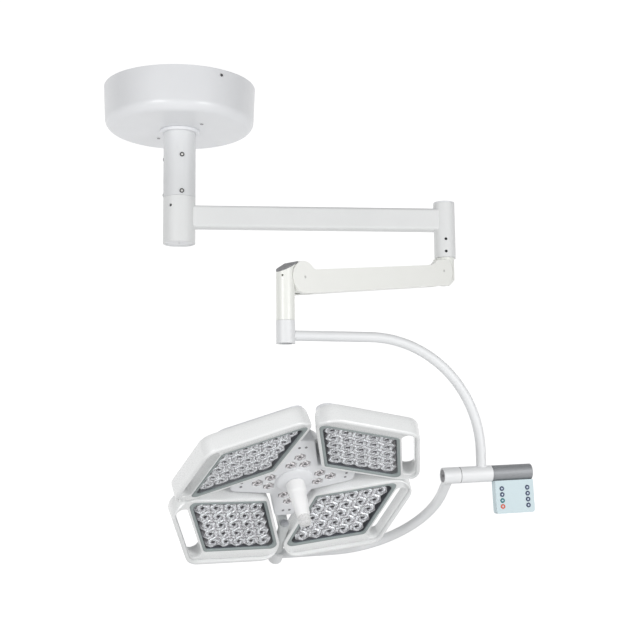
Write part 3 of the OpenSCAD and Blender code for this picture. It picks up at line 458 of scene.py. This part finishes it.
def turned(bm, profile, matrix, steps):
    """Adds a turned piece: profile of (radius, height) pairs about the matrix's Z axis."""
    loops = []
    for radius, height in profile:
        if radius < 1e-6:
            loops.append([bm.verts.new(matrix @ Vector((0, 0, height)))])
        else:
            loops.append([
                bm.verts.new(matrix @ Vector((radius * math.cos(t), radius * math.sin(t), height)))
                for t in (2 * math.pi * k / steps for k in range(steps))
            ])
    for lower, upper in zip(loops, loops[1:]):
        if len(lower) == 1 and len(upper) == 1:
            continue
        for i in range(steps):
            j = (i + 1) % steps
            if len(lower) == 1:
                bm.faces.new((lower[0], upper[j], upper[i]))
            elif len(upper) == 1:
                bm.faces.new((lower[i], lower[j], upper[0]))
            else:
                bm.faces.new((lower[i], lower[j], upper[j], upper[i]))


def lathe(profile, name, material, matrix, steps=48, angle=32):
    """Turned piece as an object of its own."""
    bm = bmesh.new()
    turned(bm, profile, matrix, steps)
    return from_bmesh(bm, name, material, None, angle)


# ---- outlines of the head, as in the CAD model ----


def rounded(points, radii, steps=8):
    """Closed outline with round corners, steps + 1 points for each corner."""
    result = []
    count = len(points)
    for i, corner in enumerate(points):
        corner = Vector(corner)
        before = (Vector(points[i - 1]) - corner).normalized()
        after = (Vector(points[(i + 1) % count]) - corner).normalized()
        half = before.angle(after) / 2
        radius = radii[i]
        centre = corner + (before + after).normalized() * radius / math.sin(half)
        first = corner + before * radius / math.tan(half) - centre
        last = corner + after * radius / math.tan(half) - centre
        start = math.atan2(first.y, first.x)
        sweep = math.atan2(last.y, last.x) - start
        sweep = (sweep + math.pi) % (2 * math.pi) - math.pi
        for k in range(steps + 1):
            t = start + sweep * k / steps
            result.append((centre.x + radius * math.cos(t), centre.y + radius * math.sin(t)))
    return result


def petal_outline(plain, slot, inner, radius, steps=8):
    """Rhombus of the window, each side moved outwards by its own border."""
    half = WINDOW_SIDE * math.sin(HALF_ANGLE)
    slope = 2 * math.sin(HALF_ANGLE)
    corners = [
        (-inner / math.sin(HALF_ANGLE), 0),
        ((half + slot - inner) / slope, half + slot + inner),
        ((2 * half + plain + slot) / slope, slot - plain),
        ((half + plain - inner) / slope, -half - plain - inner),
    ]
    return rounded(corners, [radius / 2, radius, radius, radius], steps)


def window_outline(margin, radius):
    """Opening of the petal's window, grown by the margin; its slot side stands further out."""
    return petal_outline(margin, WINDOW_GROW + margin, margin, radius)


SLOT_R = 15
SLOT_START = 8
SLOT_LENGTH = 163
SLOT_OUT = 23.5
SLOT_RECESS = 2
RECESS_DEPTH = 10


def slot_outline(grow, steps=16):
    """Outline of the grip slot beside the window, grown by the given amount."""
    turn = math.radians(120)
    points = []
    for end, base in ((0, math.pi / 2), (SLOT_LENGTH, -math.pi / 2)):
        for k in range(steps + 1):
            t = base + math.pi * k / steps
            x = SLOT_START + end + (SLOT_R + grow) * math.cos(t)
            y = -SLOT_OUT + (SLOT_R + grow) * math.sin(t)
            points.append((
                WINDOW_SIDE + x * math.cos(turn) - y * math.sin(turn),
                x * math.sin(turn) + y * math.cos(turn),
            ))
    return points


# ---- castings of the petals ----

LIP_FADE_START = -4
LIP_FADE_LENGTH = 26
LIP_REST = LEDGE + 0.3


def lip_top(x, y):
    """Height of the lip: full on the outer sides, fading out along the two inner sides."""
    inside = x * math.sin(HALF_ANGLE) - abs(y) * math.cos(HALF_ANGLE)
    share = min(1.0, max(0.0, (inside - LIP_FADE_START) / LIP_FADE_LENGTH))
    return LIP_REST + (RIM_TOP - LIP_REST) * share * share * (3 - 2 * share)


WALL_ROUND = 5.5
WALL_STEPS = 8
LIP_ROUND = 2.6
LIP_STEPS = 6
LIP_FALL = 0.6
INNER_LEDGE = 3.2
# Foot of the wall: inset and rise from the back
FOOT = ((2.2, 0), (0.6, 3), (0, 14))
# Crease at the lip's foot: inset and height from the ledge
CREASE = ((-0.2, -1.4), (-1.2, -1.4), (-1.6, -0.2), (-2.0, 0))
EDGE = 0.8
EDGE_DROP = 0.6


def frame_outline(inset):
    """Outside of the casting, drawn in by the inset."""
    return petal_outline(RIM_W - inset, GRIP_RIM_W - inset, INNER_BORDER - inset * 0.5, PETAL_R - inset)


def ledge_outline(inset):
    """Foot of the lip round the recessed ledge; a negative inset draws it in."""
    plain = RIM_W - LIP_W + inset
    slot = GRIP_RIM_W - GRIP_LIP_W + inset
    return petal_outline(plain, slot, INNER_LEDGE, PETAL_R - LIP_W + inset)


def wall_loops(bm):
    """Draughted outer wall that rounds over into the top of the lip."""
    loops = [ring_loop(bm, frame_outline(inset), -FRAME_DEPTH + rise) for inset, rise in FOOT]
    for k in range(WALL_STEPS + 1):
        t = math.pi / 2 * k / WALL_STEPS
        drop = WALL_ROUND * (1 - math.sin(t))
        points = frame_outline(WALL_ROUND * (1 - math.cos(t)))
        loops.append([bm.verts.new((x, y, lip_top(x, y) - drop)) for x, y in points])
    return loops


def lip_loops(bm):
    """Inside of the lip, down to a fine crease at the ledge."""
    loops = []
    for k in range(LIP_STEPS + 1):
        t = math.pi / 2 * k / LIP_STEPS
        share = 1 - (1 - math.cos(t)) * LIP_FALL
        points = ledge_outline(LIP_ROUND * (1 - math.sin(t)))
        loops.append([bm.verts.new((x, y, LEDGE + (lip_top(x, y) - LEDGE) * share)) for x, y in points])
    for inset, rise in CREASE:
        loops.append(ring_loop(bm, ledge_outline(inset), LEDGE + rise))
    return loops


def slot_loops(bm):
    """Grip slot through the casting, a little wider near the back."""
    back = -FRAME_DEPTH
    levels = ((EDGE, LEDGE), (0.2, LEDGE - EDGE_DROP), (0, LEDGE - 2))
    levels += ((0, back + RECESS_DEPTH), (SLOT_RECESS, back + RECESS_DEPTH), (SLOT_RECESS, back))
    return [ring_loop(bm, slot_outline(grow), z) for grow, z in levels]


def opening_loops(bm):
    """Opening for the window, its edge broken at the ledge."""
    levels = ((EDGE, LEDGE), (0, LEDGE - EDGE_DROP), (0, -FRAME_DEPTH))
    return [ring_loop(bm, window_outline(grow, WINDOW_R + grow), z) for grow, z in levels]


def petal_frame_mesh(bm):
    """Casting round one window: draughted wall, rounded lip, recessed ledge, grip slot."""
    walls = wall_loops(bm)
    skin_loops(bm, walls)
    lip = lip_loops(bm)
    skin_loops(bm, lip)
    bridge(bm, walls[-1], lip[0])
    slot = slot_loops(bm)
    skin_loops(bm, slot)
    opening = opening_loops(bm)
    skin_loops(bm, opening)
    fill_between(bm, [lip[-1], slot[0], opening[0]])
    fill_between(bm, [walls[0], slot[-1], opening[-1]])


def build_petals():
    """One casting for each petal, each its own piece as in the CAD model."""
    for i in range(4):
        bm = bmesh.new()
        petal_frame_mesh(bm)
        name = "petal_frame_%d" % (i + 1)
        obj = from_bmesh(bm, name + "_cast", CAST, petal_matrix(i), 38)
        place(obj, "lamp_head", slot_of[name], name)


def merged(build, name, material, angle=32):
    """One mesh made of the same shape on all four petals."""
    total = bmesh.new()
    total.loops.layers.color.new("ring")
    for i in range(4):
        part = bmesh.new()
        build(part)
        matrix = petal_matrix(i)
        part.transform(matrix)
        if matrix.determinant() < 0:
            bmesh.ops.reverse_faces(part, faces=part.faces)
        piece = bpy.data.meshes.new("part")
        part.to_mesh(piece)
        part.free()
        total.from_mesh(piece)
        bpy.data.meshes.remove(piece)
    return from_bmesh(total, name, material, None, angle)


# ---- bead, pane, tray and lenses of the windows ----

# Inset from the window's edge and height
SEAL_PROFILE = ((0.1, -3), (0.1, 0.2), (0.9, 1.3), (2.4, 1.8), (4.4, 1.7), (6.2, 1.0), (6.9, 0.1), (7.0, -3))
PANE_PROFILE = ((6.2, -3), (6.2, -0.5), (6.7, 0))
TRAY_TOP = -3.4
TRAY_OUTSIDE = ((0.6, TRAY_TOP), (0.6, -27), (1.4, -27), (1.4, TRAY_TOP))
TRAY_INSIDE = ((2.2, -22), (4, -24.4))


def seal_mesh(bm):
    """Rubber bead that holds the pane, crowned on top."""
    loops = [ring_loop(bm, window_outline(-inset, WINDOW_R), z) for inset, z in SEAL_PROFILE]
    skin_loops(bm, loops + loops[:1])


def pane_mesh(bm):
    """Clear pane with a bevelled edge, set into the bead."""
    loops = [ring_loop(bm, window_outline(-inset, WINDOW_R - 3), z) for inset, z in PANE_PROFILE]
    skin_loops(bm, loops)
    bm.faces.new(loops[-1])
    bm.faces.new(list(reversed(loops[0])))


def tray_mesh(bm):
    """Dark pan behind the lenses, its wall rising to the pane."""
    loops = [ring_loop(bm, window_outline(-inset, WINDOW_R - 1), z) for inset, z in TRAY_OUTSIDE]
    skin_loops(bm, loops[:2])
    bm.faces.new(list(reversed(loops[1])))
    bridge(bm, loops[3], loops[0])
    floor = [loops[3]]
    floor += [ring_loop(bm, window_outline(-inset, WINDOW_R - 2), z) for inset, z in TRAY_INSIDE]
    skin_loops(bm, list(reversed(floor)))
    bm.faces.new(floor[-1])


# The ring colours are painted reflection and shade: the bright rings stand for light reflected in the clear lens,
# the dark core for shade in its depth
LENS_RINGS = (
    # kind, share of the hexagon or radius in millimetres, height from the top, colour
    ("hex", 1.0, -19.0, (0.38, 0.37, 0.38)),
    ("hex", 1.0, -2.6, (0.80, 0.78, 0.79)),
    ("hex", 0.94, -0.9, (1.0, 0.99, 0.99)),
    ("hex", 0.86, -0.2, (0.92, 0.90, 0.91)),
    ("round", 12.2, 0.0, (0.70, 0.68, 0.69)),
    ("round", 10.6, -0.7, (1.0, 0.99, 0.99)),
    ("round", 8.6, -0.3, (0.66, 0.64, 0.65)),
    ("round", 6.8, -0.2, (1.0, 0.99, 0.99)),
    ("round", 5.2, -1.2, (0.60, 0.58, 0.60)),
    ("round", 4.0, -3.6, (0.26, 0.25, 0.26)),
    ("round", 3.0, -7.0, (0.11, 0.11, 0.12)),
    ("round", 1.3, -7.4, (0.34, 0.30, 0.16)),
)
LENS_TURN = math.radians(30)
LENS_STEPS = 24
LENS_TOP = -5
# Painted shading across each ring, lighter and darker three times round
FACET_PAINTED_SHADING = 0.28


def lens_mesh(bm, layer, centre, top, flat, turn, scale=1.0, shades=(0.0, 1.0), relief=1.0):
    """One hexagonal lens with a stepped face, its ring colours of painted reflection and shade held between two
    limits.
    """
    least, most = shades
    loops = []
    colours = []
    corner = flat / 2 / math.cos(math.pi / 6)
    for kind, size, depth, colour in LENS_RINGS:
        loop = []
        for k in range(LENS_STEPS):
            t = 2 * math.pi * k / LENS_STEPS
            if kind == "hex":
                local = (t % (math.pi / 3)) - math.pi / 6
                radius = corner * math.cos(math.pi / 6) / math.cos(local) * size
            else:
                radius = size * scale
            loop.append(bm.verts.new((
                centre[0] + radius * math.cos(t + turn),
                centre[1] + radius * math.sin(t + turn),
                top + depth * (scale * relief if kind == "round" else 1),
            )))
        loops.append(loop)
        colours.append([min(most, max(c, least)) for c in colour])
    for ring, (lower, upper) in enumerate(zip(loops, loops[1:])):
        for i in range(LENS_STEPS):
            j = (i + 1) % LENS_STEPS
            face = bm.faces.new((lower[i], lower[j], upper[j], upper[i]))
            # Painted shading of the facets: each ring's colour swings lighter and darker three times round
            shade = 1.0 + FACET_PAINTED_SHADING * math.cos(3 * 2 * math.pi * i / LENS_STEPS + ring)
            for loop in face.loops:
                base = colours[ring] if loop.vert in lower else colours[ring + 1]
                loop[layer] = (*[min(1.0, c * shade) for c in base], 1)
    cap = bm.faces.new(loops[-1])
    for loop in cap.loops:
        loop[layer] = (*colours[-1], 1)


def petal_lens_mesh(bm):
    """Rhombic field of lenses behind one window."""
    layer = bm.loops.layers.color.new("ring")
    middle = (LENS_ROWS - 1) / 2
    for a in range(LENS_ROWS):
        for b in range(LENS_ROWS):
            x = WINDOW_SIDE / 2 + LENS_PITCH * math.cos(HALF_ANGLE) * (a + b - 2 * middle)
            x += LENS_SHIFT * math.sin(HALF_ANGLE)
            y = LENS_PITCH * math.sin(HALF_ANGLE) * (a - b) + LENS_SHIFT * math.cos(HALF_ANGLE)
            lens_mesh(bm, layer, (x, y), LENS_TOP, LENS_FLAT, LENS_TURN)


def build_windows():
    """Each part of the windows as one piece for all four petals."""
    place(merged(seal_mesh, "seal_beads", SEAL, 40), "lamp_head", "seal_grey", "window_seals")
    place(merged(pane_mesh, "window_panes", GLASS), "lamp_head", "window_glass", "petal_windows")
    place(merged(tray_mesh, "lamp_trays", TRAY), "lamp_head", "board_green", "led_boards")
    place(merged(petal_lens_mesh, "lens_fields", LENS, 50), "lamp_head", "lens_clear", "petal_lenses")


# ---- hub of the head ----

LOBE_ROOT = 50.4
LOBE_TIP = 152
LOBE_TIP_HALF = 25
LOBE_TIP_ROUND = 14
LOBE_ROOT_ROUND = 8
ROOT_INSET_SHARE = 0.95
HEXAGON_ROUND = 2.0


def hub_outline(inset, steps=7):
    """Four lobes between the petals, drawn in by the inset."""
    tip = LOBE_TIP - inset
    half = LOBE_TIP_HALF - inset
    root = LOBE_ROOT - inset * ROOT_INSET_SHARE
    corners = []
    for i in range(4):
        turn = Matrix.Rotation(math.radians(90 * i), 2)
        for p in ((tip, -half), (tip, half), (root, root)):
            corners.append(turn @ Vector(p))
    radii = [LOBE_ROOT_ROUND if i % 3 == 2 else LOBE_TIP_ROUND - inset for i in range(12)]
    return rounded(corners, radii, steps)


HUB_SKIRT = 33
HUB_ROUND = 3.5
HUB_ROUND_STEPS = 4
HUB_LENSES = ((60, 17), (60, -17), (89.4, 0))
HUB_LENS_R = 14.5
HUB_LENS_SCALE = 0.82
# Limits of the painted reflection and shade on the hub's lenses
HUB_LENS_SHADES = (0.4, 0.74)
HUB_LENS_RELIEF = 0.3
HUB_LENS_DROP = 0.2
# Holes round the lenses: growth beyond the lens and depth below the face
HUB_HOLE = ((1.6, 0), (0.5, 1.2), (0.5, 12))


def hub_lens_centres():
    """Places of the hub's lenses, three on each lobe."""
    for i in range(4):
        turn = Matrix.Rotation(math.radians(90 * i), 2)
        for p in HUB_LENSES:
            yield turn @ Vector(p)


def hexagon(centre, radius, steps=4):
    """Hexagon with round corners, turned like the lenses."""
    corners = []
    for k in range(6):
        t = LENS_TURN + math.pi / 3 * k
        corners.append((centre[0] + radius * math.cos(t), centre[1] + radius * math.sin(t)))
    return rounded(corners, [HEXAGON_ROUND] * 6, steps)


def build_hub_cover():
    """Moulded cover of the hub with a hexagonal hole for each lens."""
    bm = bmesh.new()
    shoulder = HUB_FACE - HUB_ROUND
    skirt = [ring_loop(bm, hub_outline(0), HUB_FACE - HUB_SKIRT), ring_loop(bm, hub_outline(0), shoulder)]
    for k in range(1, HUB_ROUND_STEPS + 1):
        t = math.pi / 2 * k / HUB_ROUND_STEPS
        outline = hub_outline(HUB_ROUND * (1 - math.cos(t)))
        skirt.append(ring_loop(bm, outline, shoulder + HUB_ROUND * math.sin(t)))
    skin_loops(bm, skirt)
    holes = []
    for centre in hub_lens_centres():
        rings = []
        for grow, depth in HUB_HOLE:
            rings.append(ring_loop(bm, hexagon(centre, HUB_LENS_R + grow), HUB_FACE - depth))
        skin_loops(bm, rings)
        holes.append(rings[0])
    fill_between(bm, [skirt[-1]] + holes)
    obj = from_bmesh(bm, "hub_cover_shell", SHELL, HEAD, 38)
    place(obj, "lamp_head", slot_of["hub_cover"], "hub_cover")


def build_hub_lenses():
    """The hub's own lenses, flatter than those in the windows, their painted reflection and shade held paler."""
    bm = bmesh.new()
    layer = bm.loops.layers.color.new("ring")
    hub_lens_flat = 2 * HUB_LENS_R * math.cos(math.pi / 6)
    shape = (hub_lens_flat, LENS_TURN, HUB_LENS_SCALE, HUB_LENS_SHADES, HUB_LENS_RELIEF)
    for centre in hub_lens_centres():
        lens_mesh(bm, layer, centre, HUB_FACE - HUB_LENS_DROP, *shape)
    obj = from_bmesh(bm, "hub_lens_set", LENS, HEAD, 50)
    place(obj, "lamp_head", slot_of["hub_lenses"], "hub_lenses")


# ---- handle ----

HANDLE_RISE = 10
HANDLE_LENGTH = 114
KNURL_FROM = 22
FLANGE_R = 45
FLANGE_EDGE = 3.2
DOME_R = 23
DOME_SPAN = 21.2
SPIGOT_R = 13.9
GRIP_FOOT_R = 22
GRIP_NECK_R = 19.8
GRIP_TAPER = 4.4
GRIP_TAPER_FROM = 32
GRIP_BULGE = 0.3
KNURL_R = 14.4
KNURL_GROOVE_R = 13.5
KNURL_PITCH = 2.6
KNURL_GROOVES = 6


def build_flange():
    """Flat rim with a low dome and the bore that the handle turns in."""
    base = HUB_FACE + 0.02
    top = base + HANDLE_RISE
    profile = [(20, base - 20), (26, base - 20), (26, base), (FLANGE_R, base)]
    profile += [(FLANGE_R, base + 2.4), (FLANGE_R - 0.6, base + FLANGE_EDGE)]
    for k in range(1, 8):
        t = math.radians(10 * k)
        height = (HANDLE_RISE - FLANGE_EDGE - 0.6) * math.sin(t)
        profile.append((DOME_R + DOME_SPAN * math.cos(t), base + FLANGE_EDGE + height))
    profile += [(25.5, top - 0.3), (24.4, top), (SPIGOT_R + 0.2, top)]
    obj = lathe(profile, "handle_flange", SHELL, HEAD, 72)
    place(obj, "lamp_head", slot_of["handle_base"], "handle_base")
    return top + 0.5


def build_sleeve(foot, neck):
    """Smooth part of the handle: straight foot, shoulder and a slight taper."""
    profile = [(SPIGOT_R, foot - 26), (SPIGOT_R, foot), (GRIP_FOOT_R - 1, foot), (GRIP_FOOT_R, foot + 0.9)]
    profile += [(GRIP_FOOT_R, foot + 25), (21.6, foot + 27), (20.2, foot + 29.5)]
    profile.append((GRIP_NECK_R, foot + GRIP_TAPER_FROM))
    for k in range(1, 9):
        share = k / 9
        bulge = GRIP_BULGE * math.sin(math.pi * share)
        height = (neck - foot - GRIP_TAPER_FROM - 2) * share
        profile.append((GRIP_NECK_R - GRIP_TAPER * share + bulge, foot + GRIP_TAPER_FROM + height))
    profile += [(15.2, neck - 2), (13.4, neck), (0, neck)]
    obj = lathe(profile, "handle_sleeve", GRIP, HEAD, 64, 28)
    place(obj, "handle", slot_of["handle_grip"], "handle_grip")


def build_knurl(neck, end):
    """Grooved tip of the handle with a round nose."""
    profile = [(13.3, neck - 1), (13.3, neck + 0.8), (KNURL_R, neck + 1.6)]
    for k in range(KNURL_GROOVES):
        profile.append((KNURL_R, neck + 2.2 + KNURL_PITCH * k))
        profile.append((KNURL_GROOVE_R, neck + 3.4 + KNURL_PITCH * k))
    profile += [(14.2, end - 4), (13, end - 1.8), (10.6, end - 0.5), (8, end), (0, end)]
    obj = lathe(profile, "handle_knurl", KNURL, HEAD, 64, 28)
    place(obj, "handle", slot_of["handle_grip"])


def build_handle():
    foot = build_flange()
    end = foot + HANDLE_LENGTH
    build_sleeve(foot, end - KNURL_FROM)
    build_knurl(end - KNURL_FROM, end)


# ---- screws of the column ----

COLUMN_R = 44.5
SCREW_LEVELS = (-200, -302)
SCREW_FIRST = -81
# Radius and height from the column's skin
RIM_PROFILE = ((0, -2), (6, -2), (6, 2.4), (5.5, 3), (4.1, 3), (3.7, 2.4), (3.7, 0.4), (0, 0.4))
SOCKET_PROFILE = ((3.65, 0.5), (3.65, 2.2), (2.8, 2.7), (0, 2.9))


def build_column_screws():
    """Cap screws: the dark rim is painted shade in the recess round each head, the bright socket a painted
    highlight.
    """
    shade_rims = bmesh.new()
    highlight_sockets = bmesh.new()
    for level in SCREW_LEVELS:
        for i in range(3):
            turn = Matrix.Rotation(math.radians(120 * i + SCREW_FIRST), 4, "Z")
            outward = Matrix.Translation((COLUMN_R, 0, level)) @ Matrix.Rotation(math.radians(90), 4, "Y")
            matrix = Matrix.Scale(MM, 4) @ turn @ outward
            turned(shade_rims, RIM_PROFILE, matrix, 32)
            turned(highlight_sockets, SOCKET_PROFILE, matrix, 24)
    # Painted shade: black rims where the recess round each screw lies in shadow
    obj = from_bmesh(shade_rims, "column_screw_painted_shade_rims", BLACK_AND_SHADE, None, 40)
    place(obj, "ceiling_mount", slot_of["column_screws"], "column_screws")
    # Painted highlight: pale sockets where the screw heads catch the light
    obj = from_bmesh(highlight_sockets, "column_screw_painted_highlight_sockets", PALE_SCREW_AND_HIGHLIGHT, None, 40)
    place(obj, "ceiling_mount", slot_of["column_screws"])


# ---- key pad ----

PAD_FROM = 28
PAD_W = 100
PAD_TOP = -18.5
PAD_FRONT = -15
BUTTON_RISE = 1.2
BUTTON_FROM_SIDE = 16.5
BUTTON_FROM_TOP = 19.5
BUTTON_PITCH = 14.4
BUTTON_ROWS = 4
BUTTON_COUNT = 8
# Radius and height from the key's front
BUTTON_PROFILE = (
    (0, -4.6), (6.9, -4.6), (6.9, -3.8), (5.6, -3.7), (5.8, -3.4), (5.8, -0.6), (5.5, -0.15),
    (5.0, 0.0), (2.6, 0.0), (2.3, -0.25), (2.3, -0.6),
)
MARK_PROFILE = ((2.29, -1.0), (2.29, -0.5), (2.0, -0.3), (0, -0.2))


def button_centre(i):
    """Place of one key on the panel: two columns, counted downwards."""
    x = PAD_FROM + (BUTTON_FROM_SIDE if i < BUTTON_ROWS else PAD_W - BUTTON_FROM_SIDE)
    return x, PAD_TOP - BUTTON_FROM_TOP - BUTTON_PITCH * (i % BUTTON_ROWS)


def build_buttons():
    """Eight round keys, each a coloured ring round a pale middle."""
    ring_colour = {2: TEAL, 3: RED}
    for i in range(BUTTON_COUNT):
        x, z = button_centre(i)
        front = PAD_FRONT - BUTTON_RISE
        local = SWIVEL @ Matrix.Translation((x, front, z)) @ Matrix.Rotation(math.radians(90), 4, "X")
        name = "button_%d" % (i + 1)
        ring = lathe(BUTTON_PROFILE, name + "_ring", ring_colour.get(i, NAVY), local, 32, 40)
        place(ring, name, slot_of[name], name)
        dot = lathe(MARK_PROFILE, name + "_mark", PALE, local, 24, 40)
        place(dot, name, "panel_blue")


# ---- painted shadow in the seam of the swivel ----

SWIVEL_R = 20
SWIVEL_SEAM = -58
SEAM_INSIDE = 17
SEAM_HALF = 1.1


def build_swivel_seam_shadow():
    """Dark ring in the seam between the two halves of the swivel: a painted shadow for the gap there."""
    local = SWIVEL @ Matrix.Translation((SWIVEL_SEAM, 0, 0)) @ Matrix.Rotation(math.radians(90), 4, "Y")
    profile = [(SEAM_INSIDE, -SEAM_HALF), (SWIVEL_R - 0.2, -SEAM_HALF), (SWIVEL_R + 0.1, -0.8)]
    profile += [(SWIVEL_R + 0.1, 0.6), (SWIVEL_R - 0.2, 0.9), (SEAM_INSIDE, 0.9), (SEAM_INSIDE, -SEAM_HALF)]
    obj = lathe(profile, "swivel_seam_shadow_ring", CAP_GREY_AND_SHADE, local, 64, 40)
    place(obj, "outer_yoke", slot_of["yoke_bushes"])


build_petals()
build_windows()
build_hub_cover()
build_hub_lenses()
build_handle()
build_column_screws()
build_swivel_seam_shadow()
build_buttons()

# ---- pieces whose CAD shape is right: material and width of the rounded edge in millimetres ----

ROUNDED = (
    ("canopy_cover", SHELL, 1.2),
    ("canopy_collar", SHELL, 1.5),
    ("column_tube", COLUMN, 0.8),
    ("canopy_screws", SCREW, 0.4),
    ("main_arm", BEAM, 0.9),
    ("hub_bottom_cap", SHELL, 0.6),
    ("brake_screws", BLACK_AND_SHADE, 0.3),
    ("end_hub_cap", SHELL, 1.2),
    ("rear_knuckle", COVER, 1.0),
    ("cover_near", ARM_COVER, 1.6),
    ("cover_far", ARM_COVER, 1.6),
    ("cover_screws", PALE_SCREW_AND_HIGHLIGHT, 0.3),
    ("front_knuckle", COVER, 1.2),
    ("knuckle_cap", CAP_GREY_AND_SHADE, 0.6),
    ("yoke_tube", WHITE, 1.1),
    ("control_housing", PAD_CASE, 0.8),
    ("control_panel", PANEL, 1.2),
    ("inner_yoke_tube", WHITE, 1.1),
    ("swivel_end_cap", CAP_GREY_AND_SHADE, 0.5),
    ("hub_frame", SILVER, 1.0),
    ("back_covers", SHELL, 2.5),
    ("ceiling_plate", ZINC, 0.6),
    ("power_supply", CASE, 1.0),
    ("roll_spindle", STEEL, 0.4),
)

# ---- pieces that show little or nothing: material only ----

PLAIN = (
    ("column_spindle", STEEL),
    ("arm_bushes", BRONZE),
    ("slip_ring", COPPER),
    ("rear_spindle", STEEL),
    ("hub_screws", SCREW),
    ("arm_frame", ZINC),
    ("balance_spring", SPRING),
    ("lift_axles", STEEL),
    ("tie_rod", ZINC),
    ("spring_rod", STEEL),
    ("spring_nut", BRONZE),
    ("front_spindle", STEEL),
    ("yoke_bushes", BRONZE),
    ("key_board", BOARD),
    ("tilt_spindle", STEEL),
)

for node, material, width in ROUNDED:
    softened(node, material, width)

for node, material in PLAIN:
    keep(node, material)

# ---- floor, lights and camera ----


FLOOR_Z = -1.75
SWEEP_BACK = 3.2
SWEEP_R = 1.2
SWEEP_STEPS = 12
SWEEP_FRONT = -9.0
SWEEP_HALF = 9.0
SWEEP_TOP = 4.5
SWEEP_DARK = (0.29, 0.29, 0.29)
SWEEP_LIGHT = (0.31, 0.31, 0.31)
# The floor's glow at two distances: place along Y in metres, strength
GLOW_FROM = (0.6, 0.42)
GLOW_TO = (2.0, 0.9)


def sweep_material():
    """Matt grey paper that glows towards the back wall, so that the wall comes out almost white."""
    mat, tree, bsdf = new_material("studio_sweep")
    noise = add_noise(tree, 2.0)
    ramp = ramp_between(tree, noise.outputs["Fac"], SWEEP_DARK, SWEEP_LIGHT)
    tree.links.new(ramp.outputs["Color"], bsdf.inputs["Base Color"])
    bsdf.inputs["Roughness"].default_value = 0.9
    bsdf.inputs["Emission Color"].default_value = (1, 1, 1, 1)
    coord = tree.nodes.new("ShaderNodeTexCoord")
    axes = tree.nodes.new("ShaderNodeSeparateXYZ")
    tree.links.new(coord.outputs["Object"], axes.inputs["Vector"])
    glow = tree.nodes.new("ShaderNodeMapRange")
    tree.links.new(axes.outputs["Y"], glow.inputs["Value"])
    glow.inputs["From Min"].default_value = GLOW_FROM[0]
    glow.inputs["To Min"].default_value = GLOW_FROM[1]
    glow.inputs["From Max"].default_value = GLOW_TO[0]
    glow.inputs["To Max"].default_value = GLOW_TO[1]
    tree.links.new(glow.outputs["Result"], bsdf.inputs["Emission Strength"])
    return mat


def build_stage():
    """Floor that curves up into the back wall."""
    bm = bmesh.new()
    profile = [(SWEEP_FRONT, FLOOR_Z)]
    for k in range(SWEEP_STEPS + 1):
        t = math.pi / 2 * k / SWEEP_STEPS
        forward = SWEEP_BACK - SWEEP_R + SWEEP_R * math.sin(t)
        profile.append((forward, FLOOR_Z + SWEEP_R - SWEEP_R * math.cos(t)))
    profile.append((SWEEP_BACK, SWEEP_TOP))
    columns = []
    for x in (-SWEEP_HALF, SWEEP_HALF):
        columns.append([bm.verts.new((x, y, z)) for y, z in profile])
    for i in range(len(profile) - 1):
        bm.faces.new((columns[0][i], columns[1][i], columns[1][i + 1], columns[0][i + 1]))
    sweep = from_bmesh(bm, "studio_sweep", sweep_material())


def area_light(name, place_at, target, size, power):
    """Round soft light that faces its target."""
    data = bpy.data.lights.new(name, "AREA")
    data.shape = "DISK"
    data.size = size
    data.energy = power
    obj = bpy.data.objects.new(name, data)
    obj.location = place_at
    obj.rotation_euler = (Vector(target) - Vector(place_at)).to_track_quat("-Z", "Y").to_euler()
    bpy.context.scene.collection.objects.link(obj)


SENSOR_MM = 36
FOCAL_MM = 67.7886
CAMERA_AT = (0.0365, -3.2262, -1.0930)
CAMERA_YAW = math.radians(-5.97)
CAMERA_PITCH = math.radians(7.99)
CAMERA_ROLL = math.radians(-0.6)


def build_camera():
    """Camera below and in front of the light, looking slightly upwards."""
    data = bpy.data.cameras.new("camera")
    camera = bpy.data.objects.new("camera", data)
    bpy.context.scene.collection.objects.link(camera)
    data.sensor_width = SENSOR_MM
    data.sensor_height = SENSOR_MM
    data.sensor_fit = "HORIZONTAL"
    data.lens = FOCAL_MM
    level = Vector((-math.sin(CAMERA_YAW), math.cos(CAMERA_YAW), 0))
    forward = level * math.cos(CAMERA_PITCH) + Vector((0, 0, math.sin(CAMERA_PITCH)))
    right = Vector((math.cos(CAMERA_YAW), math.sin(CAMERA_YAW), 0))
    up = right.cross(forward)
    right_rolled = right * math.cos(CAMERA_ROLL) + up * math.sin(CAMERA_ROLL)
    up_rolled = up * math.cos(CAMERA_ROLL) - right * math.sin(CAMERA_ROLL)
    turn = Matrix((right_rolled, up_rolled, -forward)).transposed().to_4x4()
    camera.matrix_world = Matrix.Translation(CAMERA_AT) @ turn
    data.clip_end = 50
    bpy.context.scene.camera = camera


WORLD_STRENGTH = 0.24


def build_world():
    world = bpy.data.worlds.new("studio")
    bpy.context.scene.world = world
    world.use_nodes = True
    background = world.node_tree.nodes["Background"]
    background.inputs["Color"].default_value = (1, 1, 1, 1)
    background.inputs["Strength"].default_value = WORLD_STRENGTH


# name, place, target, diameter in metres, power in watts
LIGHTS = (
    ("key", (-1.5, -2.6, -0.5), (0.25, -0.3, -0.8), 1.1, 34),
    ("fill", (1.9, -2.5, -0.75), (0.3, -0.2, -0.7), 1.1, 32),
)

build_stage()
build_world()
build_camera()
for light in LIGHTS:
    area_light(*light)

bpy.context.scene.view_settings.view_transform = "Standard"
